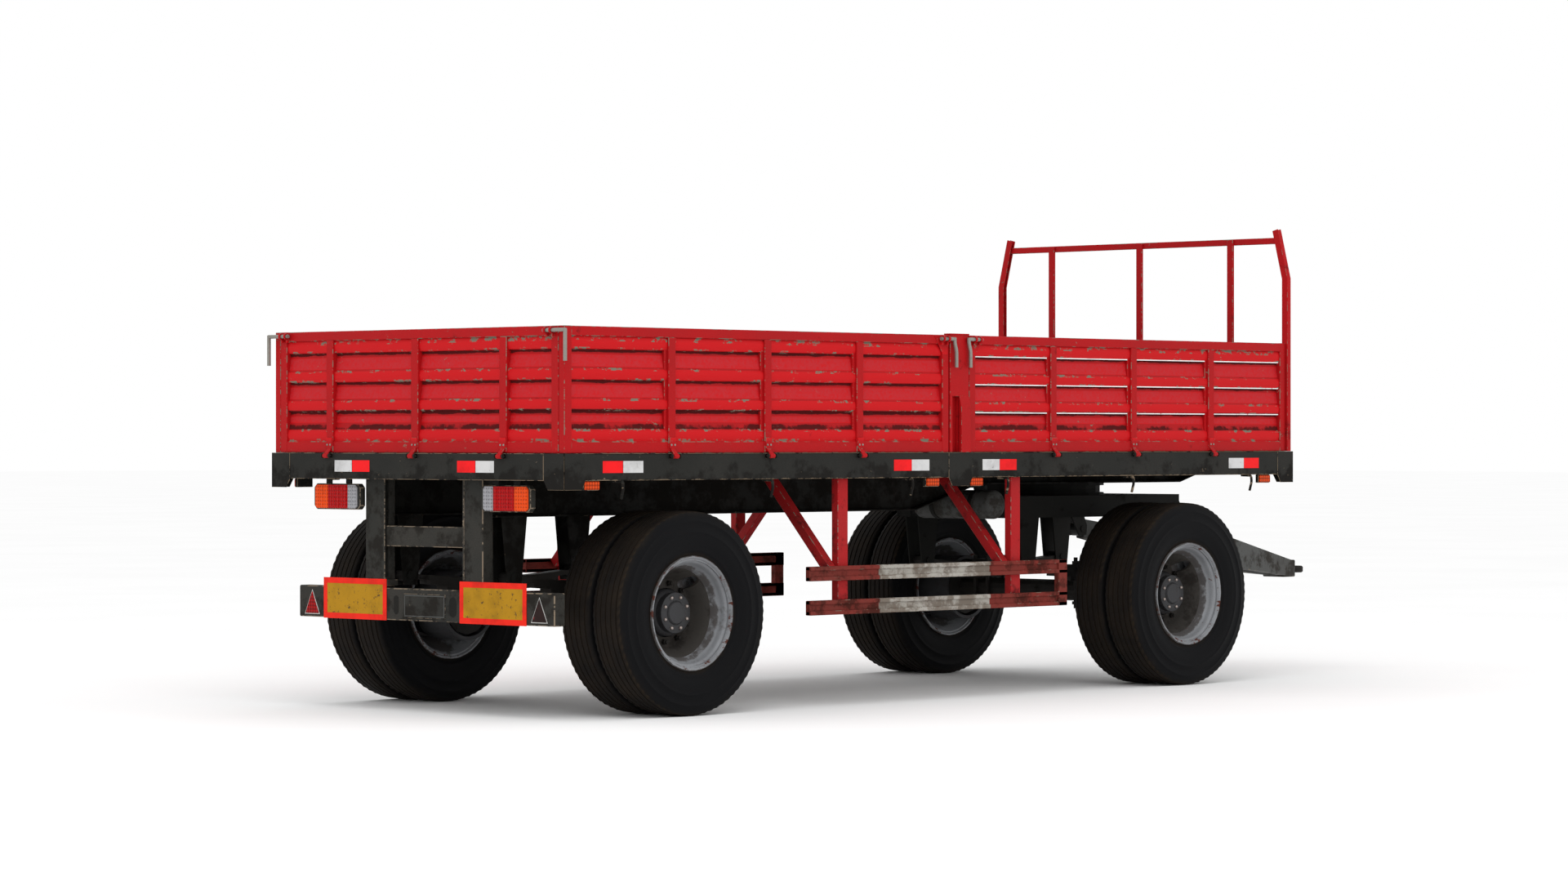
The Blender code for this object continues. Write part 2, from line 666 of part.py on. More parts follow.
POST_RUN = 0.008
POST_PROUD = 0.005
POST_FOOT_OUT = 0.022
POST_FOOT_HEIGHT = 0.330
POST_FOOT_TAPER = 0.070


def mid_post(name, side, material):
    """The stake between the two side boards, with its stiffened foot in the pocket."""
    half = BAY_GAP / 2 - POST_RUN
    x0, x1 = at(BAY_SPLIT - half), at(BAY_SPLIT + half)
    outer = HALF_WIDTH + POST_PROUD
    top = BOARD_BASE + BOARD_HEIGHT + LAP
    foot_x = x0 + half * 0.55
    foot = HALF_WIDTH + POST_FOOT_OUT
    low = BOARD_BASE
    knee = low + POST_FOOT_HEIGHT
    wedge = [(outer - 0.010, low), (foot, low), (foot, knee - POST_FOOT_TAPER),
             (outer - 0.001, knee), (outer - 0.010, knee)]
    wedge = [(side * y, z) for y, z in wedge]
    solids = [
        box(x0, x1, side * INSIDE_Y, side * outer, low, top),
        prism(wedge, "X", foot_x, x1),
        box(x0 - RUN, x1 + RUN, side * INSIDE_Y, side * (outer + 0.003),
            top - LAP, top + 0.006),
    ]
    return node(name, solids, material)


RACK_TOP = BOARD_BASE + 1.4035
RACK_BEND = BOARD_BASE + 1.0935
RACK_LEAN = 0.077
RACK_POST = 0.046
RACK_DEPTH = 0.036
RACK_RAIL_Z = (RACK_TOP - 0.088, RACK_TOP - 0.048)
RACK_RAIL_BACK = 0.017          # the top rail starts this far into the posts' depth
RACK_BAR = 0.048
RACK_BAR_DEPTH = 0.018
RACK_BAR_PITCH = 0.751
HEADBOARD_HALF = FRAME_Y - RACK_POST - RUN


def headboard_rack(material):
    """The headboard's corner posts with the rack's top rail and uprights."""
    x0 = at(BODY_LENGTH - BOARD_THICK)
    x1 = x0 + RACK_DEPTH
    middle = (x0 + x1) / 2
    y = FRAME_Y - RACK_POST / 2
    solids = []
    for _, side in SIDES:
        path = [(middle, side * y, BOARD_BASE), (middle, side * y, RACK_BEND),
                (middle, side * (y - RACK_LEAN), RACK_TOP)]
        solids.append(bar(path, RACK_DEPTH, RACK_POST, up=(0, 1, 0)))
    low, high = RACK_RAIL_Z
    reach = y - RACK_LEAN * (low - RACK_BEND) / (RACK_TOP - RACK_BEND)
    solids.append(box(x0 + RACK_RAIL_BACK, x1 - RUN, -reach, reach, low, high))
    for place in (-RACK_BAR_PITCH, 0.0, RACK_BAR_PITCH):
        solids.append(box(x0 + 0.001, x0 + 0.001 + RACK_BAR_DEPTH, place - RACK_BAR / 2,
                          place + RACK_BAR / 2, BOARD_BASE + BOARD_HEIGHT + FIT, high - 0.002))
    return node("headboard_rack", solids, material)


# ---------------------------------------------------------------- under the bed
BUMPER_FACE = 0.060
BUMPER_DEPTH = 0.080
BUMPER_HALF = 1.060
BUMPER_Z = (0.512, 0.690)
BUMPER_POST_Y = 0.405
BUMPER_POST_WIDTH = 0.165
BUMPER_TIE_Z = (0.922, 1.036)
PLATE_Y = 0.573
PLATE_HALF = 0.269
PLATE_Z = (0.509, 0.739)
PLATE_THICK = 0.004


def underrun_bumper(material):
    """The rear underrun guard: two posts, a tie, the beam and its marking plates."""
    x0, x1 = at(BUMPER_FACE), at(BUMPER_FACE + BUMPER_DEPTH)
    low, high = BUMPER_Z
    solids = [
        box(x0, x1, -BUMPER_HALF, BUMPER_HALF, low, high),
        box(x0 + 0.012, x1 - 0.012, -BUMPER_POST_Y, BUMPER_POST_Y, *BUMPER_TIE_Z),
    ]
    for _, side in SIDES:
        inner = side * (BUMPER_POST_Y - BUMPER_POST_WIDTH / 2)
        outer = side * (BUMPER_POST_Y + BUMPER_POST_WIDTH / 2)
        solids.append(box(x0 + 0.001, x1 - 0.001, inner, outer, low + 0.020, BEAM_TOP))
        solids.append(box(x0 - PLATE_THICK, x0 + 0.002, side * (PLATE_Y - PLATE_HALF),
                          side * (PLATE_Y + PLATE_HALF), *PLATE_Z))
    return node("underrun_bumper", solids, material)


LAMP_Y = 0.700
LAMP_HALF = 0.200
LAMP_Z = (RAIL_BOTTOM - 0.172, RAIL_BOTTOM - 0.027)
LAMP_FACE = 0.026
LAMP_DEPTH = 0.085
LAMP_EDGE = 0.022


def tail_lamp(name, side, material):
    """A rear lamp with its lens, housing and two hangers from the rear sill."""
    x0, x1 = at(LAMP_FACE), at(LAMP_FACE + LAMP_DEPTH)
    low, high = LAMP_Z
    edge = LAMP_EDGE
    y0, y1 = LAMP_Y - LAMP_HALF, LAMP_Y + LAMP_HALF
    outline = [(y0, low + edge), (y0 + edge, low), (y1 - edge, low), (y1, low + edge),
               (y1, high - edge), (y1 - edge, high), (y0 + edge, high), (y0, high - edge)]
    outline = [(side * y, z) for y, z in outline]
    solids = [prism(outline, "X", x0, x1)]
    for shift in (-0.090, 0.080):
        y = side * (LAMP_Y + shift)
        solids.append(box(x0 + 0.018, x0 + 0.024, y - 0.025, y + 0.025,
                          high - 0.010, RAIL_BOTTOM - FIT))
    return node(name, solids, material)


GUARD_Y = HALF_WIDTH
GUARD_DEPTH = 0.040
GUARD_START = 1.905
GUARD_END = 4.133
GUARD_RAILS = ((0.523, 0.606), (0.716, 0.798))
GUARD_UPRIGHT = 0.076
GUARD_POSTS = (2.205, 3.700)
GUARD_POST_WIDTH = 0.084
GUARD_POST_DEPTH = 0.050
BRACE_WIDTH = 0.058
BRACE_TOP_Y = 0.640


def side_guard(name, side, material):
    """One side guard: two ribbed rails, an end upright, two posts and two braces."""
    outer, inner = side * GUARD_Y, side * (GUARD_Y - GUARD_DEPTH)
    solids = []
    for low, high in GUARD_RAILS:
        solids.append(box(at(GUARD_START), at(GUARD_END), outer, inner, low, high))
    low, high = GUARD_RAILS[0][0], GUARD_RAILS[1][1]
    solids.append(box(at(GUARD_END - GUARD_UPRIGHT), at(GUARD_END), outer, inner, low, high))
    post_out = GUARD_Y - GUARD_DEPTH + 0.006
    for place, cross in zip(GUARD_POSTS, CROSS_PLACES[1:3]):
        x0, x1 = at(place - GUARD_POST_WIDTH / 2), at(place + GUARD_POST_WIDTH / 2)
        solids.append(box(x0, x1, side * post_out, side * (post_out - GUARD_POST_DEPTH),
                          low + LAP, RAIL_BOTTOM - FIT))
        bottom = (at(cross), side * (GUARD_Y - GUARD_DEPTH - 0.020), high - 0.030)
        top = (at(cross), side * BRACE_TOP_Y, BEAM_TOP - 0.020)
        solids.append(bar([bottom, top], BRACE_WIDTH, up=(1, 0, 0)))
        solids.append(box(at(cross - 0.030), at(cross + 0.030), side * (BRACE_TOP_Y - 0.040),
                          side * (BRACE_TOP_Y + 0.045), BEAM_TOP - 0.040, BEAM_TOP))
    return node(name, solids, material)


TANK_X = 4.200
TANK_Z = BEAM_SHALLOW_Z - 0.124
TANK_RADIUS = 0.088
TANK_Y = (-0.600, 0.060)
TANK_DOME = 0.045
TANK_STRAPS = (-0.430, -0.120)
STRAP_BAND = 0.030
STRAP_WALL = 0.004


def air_tank(material):
    """The brake air tank, a cylinder with domed ends lying across the chassis."""
    middle = sum(TANK_Y) / 2
    half = (TANK_Y[1] - TANK_Y[0]) / 2
    profile = [(0, -half), (TANK_RADIUS * 0.62, -half + 0.010), (TANK_RADIUS, -half + TANK_DOME),
               (TANK_RADIUS, half - TANK_DOME), (TANK_RADIUS * 0.62, half - 0.010), (0, half)]
    tank = turned(profile, "Y", (at(TANK_X), middle, TANK_Z), HUB_SIDES)
    return node("air_tank", [tank], material, smooth=True)


def tank_cradle(material):
    """Two straps round the tank, joined by the plate that hangs them from a beam."""
    solids = []
    bore = (TANK_RADIUS + FIT) / math.cos(math.pi / HUB_SIDES)
    outer = bore + STRAP_WALL
    for y in TANK_STRAPS:
        solids.append(tube("Y", (at(TANK_X), y, TANK_Z), outer, bore, STRAP_BAND / 2, HUB_SIDES))
        solids.append(box(at(TANK_X) - 0.030, at(TANK_X) + 0.030, y - 0.016, y + 0.016,
                          TANK_Z + outer - 0.003, BEAM_SHALLOW_Z - FIT))
    solids.append(box(at(TANK_X) - 0.028, at(TANK_X) + 0.028, TANK_STRAPS[0], TANK_STRAPS[1],
                      BEAM_SHALLOW_Z - 0.022, BEAM_SHALLOW_Z - FIT))
    return node("tank_cradle", solids, material)


def turntable_ring(name, upper, parent, material):
    """One half of the turntable: a flange against the frame and a neck to the other half."""
    mate = (RING_TOP + RING_BOTTOM) / 2
    if upper:
        flange, neck, face = RING_TOP - RING_FLANGE, mate + FIT / 2, RING_TOP
    else:
        flange, neck, face = RING_BOTTOM + RING_FLANGE, mate - FIT / 2, RING_BOTTOM
    profile = [(RING_BORE, face), (RING_RADIUS, face), (RING_RADIUS, flange),
               (RING_NECK, flange), (RING_NECK, neck), (RING_BORE, neck)]
    ring = turned(profile, "Z", (at(FRONT_AXLE), 0, 0), RING_SIDES)
    return node(name, [ring], material, (at(FRONT_AXLE), 0, 0), parent, smooth=True)


# ---------------------------------------------------------------- axles, springs, wheels
def leaf_spring(name, axle, y, material, parent=None, pivot=(0, 0, 0)):
    """A stepped leaf pack with rolled eyes, its U-bolts and the plate under the axle."""
    half = SPRING_HALF
    top = SPRING_SEAT + SPRING_PACK

    def rise(distance):
        return SPRING_CAMBER * (distance / half) ** 2

    steps = 4
    eye_gap = SPRING_PIN_RADIUS + 0.008
    reach = half - eye_gap
    upper = []
    for i in range(steps + 1):
        distance = -reach + 2 * reach * i / steps
        upper.append((distance, top + rise(distance)))
    lower = []
    leaf = SPRING_PACK / LEAF_COUNT
    for i in range(LEAF_COUNT):
        end = reach * (1 - 0.82 * i / LEAF_COUNT)
        following = reach * (1 - 0.82 * (i + 1) / LEAF_COUNT)
        depth = leaf * (i + 1)
        lower.append((end, top + rise(end) - depth))
        if i < LEAF_COUNT - 1:
            lower.append((following, top + rise(following) - depth))
    outline = upper + lower + [(-d, z) for d, z in reversed(lower)]
    outline = [(at(axle) + d, z) for d, z in outline]
    wide = SPRING_WIDTH / 2
    solids = [prism(outline, "Y", y - wide, y + wide)]
    for side in (-1, 1):
        centre = (at(axle) + side * half, y, SPRING_EYE_Z)
        solids.append(tube("Y", centre, SPRING_PIN_RADIUS + 0.013, SPRING_PIN_RADIUS + 0.0013,
                           wide))
        bolt_x = at(axle) + side * (AXLE_RADIUS + 0.014)
        for across in (-1, 1):
            bolt_y = y + across * (wide + 0.006)
            solids.append(box(bolt_x - 0.009, bolt_x + 0.009, bolt_y - 0.009, bolt_y + 0.009,
                              AXLE_Z - AXLE_RADIUS - 0.045, top + 0.045))
    reach = AXLE_RADIUS + 0.030
    plate = wide + 0.022
    solids.append(box(at(axle) - reach, at(axle) + reach, y - plate, y + plate,
                      top - 0.004, top + 0.022))
    solids.append(box(at(axle) - reach, at(axle) + reach, y - plate, y + plate,
                      AXLE_Z - AXLE_RADIUS - FIT - 0.020, AXLE_Z - AXLE_RADIUS - FIT))
    return node(name, solids, material, pivot, parent)


SPINDLE_END = 1.000
DRUM_START = 0.610
BACKPLATE_Y = (0.625, 0.637)
BACKPLATE_RADIUS = 0.172


def axle_beam(name, place, material, parent=None, pivot=(0, 0, 0)):
    """A round axle with its spindles and brake backplates."""
    half_profile = [
        (SPINDLE_RADIUS, SPINDLE_END), (SPINDLE_RADIUS, BACKPLATE_Y[1] + 0.040),
        (AXLE_RADIUS, BACKPLATE_Y[1] + 0.030), (AXLE_RADIUS, BACKPLATE_Y[1]),
        (BACKPLATE_RADIUS, BACKPLATE_Y[1]), (BACKPLATE_RADIUS, BACKPLATE_Y[0]),
        (AXLE_RADIUS, BACKPLATE_Y[0]),
    ]
    profile = [(0, SPINDLE_END)] + half_profile
    profile += [(radius, -along) for radius, along in reversed(half_profile)]
    profile += [(0, -SPINDLE_END)]
    solid = turned(profile, "Y", (at(place), 0, AXLE_Z), HUB_SIDES)
    return node(name, [solid], material, pivot, parent, smooth=True)


def tyre(name, place, y, parent, material):
    """A tyre: a turned section with rounded shoulders and bulged sidewalls."""
    half = TYRE_SHOULDER / 2
    bead = BEAD_RADIUS + FIT
    bead_half = half - 0.0135
    bulge = half + TYRE_BULGE
    outer = [(bead, bead_half), (RIM_RADIUS + 0.006, bead_half),
             (TYRE_RADIUS * 0.76, bulge), (TYRE_RADIUS, half - 0.008)]
    profile = outer + [(radius, -along) for radius, along in reversed(outer)]
    solid = turned(profile, "Y", (at(place), y, AXLE_Z))
    return node(name, [solid], material, (at(place), 0, AXLE_Z), parent, smooth=True)


DISC_HALF = 0.015               # the two rim discs, bolted face to face
DISC_BORE = 0.135
DISC_RADIUS = 0.190
DISH_RADIUS = 0.243             # where the dish meets the barrel
RIM_WALL = 0.007
RIM_FLANGE = 0.012
RIM_INSET = 0.001               # the rim's flange sits inside the tyre's shoulder


def dual_rim(name, place, side, parent, material):
    """The two dished rims of a dual wheel, bolted face to face."""
    half = TYRE_SHOULDER / 2
    offset = DUAL_PITCH / 2
    lip = offset + half - RIM_INSET
    seat = lip - RIM_FLANGE
    back = offset - half + RIM_INSET
    back_seat = back + RIM_FLANGE
    bead = BEAD_RADIUS - FIT
    outside = [
        (bead, back_seat), (bead, seat), (RIM_RADIUS, seat), (RIM_RADIUS, lip),
        (bead - RIM_WALL, lip - 0.003), (DISH_RADIUS, offset - 0.003),
        (DISC_RADIUS, DISC_HALF), (DISC_BORE, DISC_HALF),
    ]
    behind = [(bead - 2 * RIM_WALL, back), (RIM_RADIUS, back), (RIM_RADIUS, back_seat)]
    profile = behind + outside
    profile += [(radius, -along) for radius, along in reversed(outside)]
    profile += [(radius, -along) for radius, along in reversed(behind)]
    centre = (at(place), side * DUAL_Y, AXLE_Z)
    solid = turned(profile, "Y", centre)
    return node(name, [solid], material, (at(place), 0, AXLE_Z), parent, smooth=True)


def hub_drum(name, place, side, parent, material):
    """The hub with its brake drum inboard and its bearing cap outboard."""
    bore = SPINDLE_RADIUS / math.cos(math.pi / HUB_SIDES) + 0.0020
    mount = DUAL_Y - DISC_HALF - FIT
    register = DISC_BORE * math.cos(math.pi / WHEEL_SIDES) - 2 * FIT
    profile = [
        (0.183, DRUM_START), (0.205, DRUM_START), (0.205, 0.860), (0.172, mount),
        (register, mount), (register, 1.030), (0.112, 1.036),
        (0.112, 1.086), (0.060, 1.106), (0, 1.106), (0, SPINDLE_END + 0.006),
        (bore, SPINDLE_END + 0.006), (bore, 0.700), (0.183, 0.700),
    ]
    profile = [(radius, side * along) for radius, along in profile]
    solid = turned(profile, "Y", (at(place), 0, AXLE_Z), HUB_SIDES)
    return node(name, [solid], material, (at(place), 0, AXLE_Z), parent, smooth=True)


def dual_wheel(label, place, side, carrier, materials):
    """All the sub-parts that turn together on one end of an axle."""
    centre = Vector((at(place), 0, AXLE_Z))
    empty = pivot_empty(f"{label}_wheel_axis", centre)
    if carrier is not None:
        empty.parent = carrier
        empty.location = centre - carrier.location
        bpy.context.view_layer.update()
    pieces = []
    for word, shift in (("outer", DUAL_PITCH / 2), ("inner", -DUAL_PITCH / 2)):
        pieces.append(tyre(f"{label}_tyre_{word}", place, side * (DUAL_Y + shift), None,
                           materials["rubber"]))
    pieces.append(dual_rim(f"{label}_rims", place, side, None, materials["rim"]))
    pieces.append(hub_drum(f"{label}_hub_drum", place, side, None, materials["iron"]))
    for piece in pieces:
        piece.parent = empty
        piece.location = (0, 0, 0)


# ---------------------------------------------------------------- dolly and drawbar
LUG_WALL = 0.010
HITCH_PIN_RADIUS = 0.020
HITCH_BOSS_RADIUS = 0.046
DOLLY_TIE_HALF = 0.045
TIE_FORWARD = 0.560             # drawbar pivot to the tie between its legs
TIE_HALF = 0.035
TIE_Z = (DRAWBAR_PIVOT_Z - 0.170, DRAWBAR_PIVOT_Z - 0.080)
HEAD_LENGTH = 0.130
HEAD_Z = (TOW_EYE_Z - 0.048, TOW_EYE_Z + 0.066)


def dolly_frame(material, parent, pivot):
    """The turning frame over the front axle, with its hangers and drawbar lugs."""
    solids = []
    x0, x1 = at(FRONT_AXLE - DOLLY_HALF), at(FRONT_AXLE + DOLLY_HALF)
    for _, side in SIDES:
        y0 = side * (DOLLY_Y - DOLLY_WIDTH / 2)
        y1 = side * (DOLLY_Y + DOLLY_WIDTH / 2)
        solids.append(box(x0, x1, y0, y1, DOLLY_BOTTOM, DOLLY_TOP))
        for place in (FRONT_AXLE - SPRING_HALF, FRONT_AXLE + SPRING_HALF):
            solids += spring_hanger(place, side * DOLLY_Y, DOLLY_BOTTOM + LAP)
        gap = DRAWBAR_WIDTH / 2 + RUN
        pin = at(DRAWBAR_PIVOT_AT)
        low = DRAWBAR_PIVOT_Z
        lug = [(pin - 0.125, DOLLY_TOP - 0.010), (x1 - 0.002, DOLLY_TOP - 0.010),
               (pin + 0.048, low + 0.020), (pin + 0.040, low - 0.040), (pin - 0.030, low - 0.045),
               (pin - 0.125, DOLLY_BOTTOM + 0.010)]
        for start in (side * DOLLY_Y - gap - LUG_WALL, side * DOLLY_Y + gap):
            solids.append(prism(lug, "Y", start, start + LUG_WALL))
        solids.append(cylinder("Y", (pin, side * DOLLY_Y, low), HITCH_PIN_RADIUS,
                               gap + LUG_WALL + 0.006, HUB_SIDES))
    inner = DOLLY_Y - DOLLY_WIDTH / 2 + LAP
    for place in (DOLLY_HALF - 0.050, RING_RADIUS - 0.060):
        for end in (-1, 1):
            x = at(FRONT_AXLE + end * place)
            solids.append(box(x - DOLLY_TIE_HALF, x + DOLLY_TIE_HALF, -inner, inner,
                              DOLLY_BOTTOM + 0.020, DOLLY_TOP))
    return node("dolly_frame", solids, material, pivot, parent)


def drawbar_frame(material, parent, pivot):
    """The A-frame drawbar: two tapered legs, a tie and the coupling head."""
    pin = at(DRAWBAR_PIVOT_AT)
    face = at(DRAWBAR_FACE)
    half = DRAWBAR_WIDTH / 2
    solids = []
    for _, side in SIDES:
        rear = side * DOLLY_Y
        middle = side * (DOLLY_Y * 0.54)
        front = side * (half + 0.012)
        sections = []
        for x, y, low, high in (
                (pin + 0.034, rear, DRAWBAR_PIVOT_Z - 0.060, DRAWBAR_PIVOT_Z + 0.062),
                (pin + 0.056, rear, DRAWBAR_PIVOT_Z - 0.066, DRAWBAR_PIVOT_Z + 0.060),
                (pin + 0.800, middle, DRAWBAR_PIVOT_Z - 0.258, DRAWBAR_PIVOT_Z - 0.068),
                (face - 0.020, front, TOW_EYE_Z - 0.046, TOW_EYE_Z + 0.064)):
            sections.append([(x, y - half, low), (x, y + half, low),
                             (x, y + half, high), (x, y - half, high)])
        solids.append(loft(sections))
        solids.append(tube("Y", (pin, rear, DRAWBAR_PIVOT_Z), HITCH_BOSS_RADIUS,
                           HITCH_PIN_RADIUS + 0.0015, half, HUB_SIDES))
        stop = DOLLY_BOTTOM - FIT
        heel = [(pin - 0.050, DRAWBAR_PIVOT_Z + 0.036), (pin - 0.012, DRAWBAR_PIVOT_Z + 0.030),
                (pin - 0.056, stop), (pin - 0.080, stop)]
        solids.append(prism(heel, "Y", rear - half, rear + half))
    tie = pin + TIE_FORWARD
    reach = DOLLY_Y * 0.72
    solids.append(box(tie - TIE_HALF, tie + TIE_HALF, -reach, reach, *TIE_Z))
    wide = DRAWBAR_WIDTH + 0.020
    solids.append(box(face - HEAD_LENGTH, face, -wide, wide, *HEAD_Z))
    return node("drawbar_frame", solids, material, pivot, parent)


def tow_eye(material, parent, pivot):
    """The forged towing eye, flanged to the coupling head."""
    face = at(DRAWBAR_FACE) + FIT
    centre = (at(EYE_CENTRE), 0, TOW_EYE_Z)
    solids = [
        box(face, face + EYE_FLANGE, -0.060, 0.060, TOW_EYE_Z - 0.042, TOW_EYE_Z + 0.042),
        tube("Z", centre, TOW_EYE_RADIUS, TOW_EYE_BORE, TOW_EYE_THICK / 2, HUB_SIDES),
        box(face + 0.004, at(EYE_CENTRE) - TOW_EYE_BORE - 0.014, -0.034, 0.034,
            TOW_EYE_Z - 0.020, TOW_EYE_Z + 0.020),
    ]
    return node("tow_eye", solids, material, pivot, parent)


# ---------------------------------------------------------------- the whole trailer
def make_materials():
    """The materials of every sub-part."""
    return {
        "red": make_material("red_paint", (0.50, 0.016, 0.018), 0.45, 0.0),
        "black": make_material("black_frame_paint", (0.030, 0.028, 0.026), 0.65, 0.1),
        "guard": make_material("faded_red_paint", (0.30, 0.030, 0.025), 0.60, 0.0),
        "floor": make_material("floor_plate", (0.11, 0.085, 0.065), 0.80, 0.0),
        "rubber": make_material("tyre_rubber", (0.018, 0.018, 0.018), 0.85, 0.0),
        "rim": make_material("rim_paint", (0.36, 0.36, 0.37), 0.50, 0.4),
        "iron": make_material("cast_iron", (0.060, 0.058, 0.055), 0.70, 0.5),
        "grey": make_material("grey_steel", (0.075, 0.075, 0.072), 0.60, 0.4),
        "rod": make_material("bare_rod", (0.42, 0.40, 0.36), 0.45, 0.7),
        "lens": make_material("lamp_lens", (0.55, 0.02, 0.02), 0.25, 0.0),
    }


def make_bed(materials):
    """The fixed chassis, bed and everything bolted to it."""
    black, red = materials["black"], materials["red"]
    for word, side in SIDES:
        main_beam(f"main_beam_{word}", side, black)
        side_rail(f"side_rail_{word}", side, black)
        mid_post(f"mid_post_{word}", side, red)
        side_guard(f"side_guard_{word}", side, materials["guard"])
        tail_lamp(f"tail_lamp_{word}", side, materials["lens"])
        leaf_spring(f"rear_spring_{word}", REAR_AXLE, side * BEAM_Y, materials["iron"])
    for index, place in enumerate(CROSS_PLACES, start=1):
        cross_member(index, place, black)
    sill("rear_sill", -FRAME_PROUD, 1, True, black)
    sill("front_sill", BODY_LENGTH + FRAME_PROUD, -1, False, black)
    inset = GUSSET_WALL + RAIL_FLANGE - FRAME_PROUD + 2 * FIT
    half = FRAME_Y - RAIL_FLANGE - FIT
    node("deck_floor", [box(at(inset), at(BODY_LENGTH - inset), -half, half,
                            FLOOR_BOTTOM, FLOOR_TOP)], materials["floor"])
    head = board_solids(2 * HEADBOARD_HALF, [HEADBOARD_HALF + place for place in TAIL_RIBS],
                        hinged=False)
    head = placed(head, at(BODY_LENGTH - BOARD_THICK), -HEADBOARD_HALF, BOARD_BASE, math.pi / 2)
    node("headboard_panel", head, red)
    headboard_rack(red)
    underrun_bumper(black)
    air_tank(materials["grey"])
    tank_cradle(black)
    axle_beam("rear_axle", REAR_AXLE, materials["iron"])
    turntable_ring("turntable_upper_ring", True, None, black)


def make_tailgate(materials):
    """The tailgate between the side boards, and its two latches."""
    half = INSIDE_Y - RUN
    eye = half - TAIL_EYE
    eyes = [half + side * (eye - shift) for side in (-1, 1) for shift in (0, EYE_SPACING)]
    gate = board_solids(2 * half, [half + place for place in TAIL_RIBS], eyes=eyes)
    gate = placed(gate, at(BOARD_THICK), half, BOARD_BASE, -math.pi / 2)
    gate_object = node("tailgate", gate, materials["red"], (at(TAIL_HINGE), 0, HINGE_Z))
    z = BOARD_BASE + BOARD_HEIGHT - LATCH_DROP
    for word, side in SIDES:
        x = at(-LATCH_OUT)
        root = (x, side * (eye - EYE_SPACING - LATCH_END), z)
        corner = (x, side * (HALF_WIDTH + TAIL_LATCH_PROUD), z)
        latch_rod(f"rear_latch_{word}", root, corner, (0, 0, 0), materials["rod"], gate_object)


def make_side_boards(materials):
    """Four drop sides, each with the latch that holds it to the middle post."""
    z = BOARD_BASE + BOARD_HEIGHT - LATCH_DROP
    bays = (
        ("rear", SIDE_BOARD_START, REAR_BAY, REAR_RIBS, -1),
        ("front", FRONT_BAY, FRONT_BOARD_END, FRONT_RIBS, 1),
    )
    for word, side in SIDES:
        for bay, start, end, ribs, away in bays:
            post_end = REAR_BAY if away < 0 else FRONT_BAY
            latch_at = post_end + away * POST_TO_LATCH
            name = f"side_board_{bay}_{word}"
            board = side_board(name, side, start, end, ribs, latch_at, materials["red"])
            y = side * (HALF_WIDTH + LATCH_OUT)
            corner = (at(post_end - away * LATCH_REACH), y, z)
            root = (at(latch_at + away * (EYE_SPACING / 2 + LATCH_END)), y, z)
            latch_rod(f"mid_latch_{bay}_{word}", root, corner, (0, side * 0.3, 0),
                      materials["rod"], board)


def make_running_gear(materials):
    """The turning dolly with its axle and drawbar, and the four dual wheels."""
    steer = Vector((at(FRONT_AXLE), 0, 0))
    dolly = pivot_empty("dolly_axis", steer)
    turntable_ring("turntable_lower_ring", False, dolly, materials["black"])
    dolly_frame(materials["black"], dolly, steer)
    for word, side in SIDES:
        leaf_spring(f"front_spring_{word}", FRONT_AXLE, side * DOLLY_Y, materials["iron"],
                    dolly, steer)
    axle_beam("front_axle", FRONT_AXLE, materials["iron"], dolly, steer)
    hitch = Vector((at(DRAWBAR_PIVOT_AT), 0, DRAWBAR_PIVOT_Z))
    hinge = pivot_empty("drawbar_axis", hitch)
    hinge.parent = dolly
    hinge.location = hitch - steer
    bpy.context.view_layer.update()
    for build, colour in ((drawbar_frame, "grey"), (tow_eye, "iron")):
        piece = build(materials[colour], None, tuple(hitch))
        piece.parent = hinge
        piece.location = (0, 0, 0)
    for word, side in SIDES:
        dual_wheel(f"rear_{word}", REAR_AXLE, side, None, materials)
        dual_wheel(f"front_{word}", FRONT_AXLE, side, dolly, materials)


def build_trailer():
    """Empty the scene and model the trailer."""
    for old in list(bpy.data.objects):
        bpy.data.objects.remove(old, do_unlink=True)
    materials = make_materials()
    make_bed(materials)
    make_tailgate(materials)
    make_side_boards(materials)
    make_running_gear(materials)
    bpy.context.view_layer.update()


build_trailer()
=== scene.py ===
# %% [markdown]
# # A drop-side drawbar trailer
#
# The measured model of the trailer is loaded first. It says where every sub-part is and how it
# moves. This notebook then builds what the eye sees around it: pressed boards, turned wheels,
# lamps, tapes and worn paint. Each new piece rides on one of the model's bodies, so that it
# moves with it. Run the cells from top to bottom.

import math

import bmesh
import bpy
from mathutils import Matrix, Vector


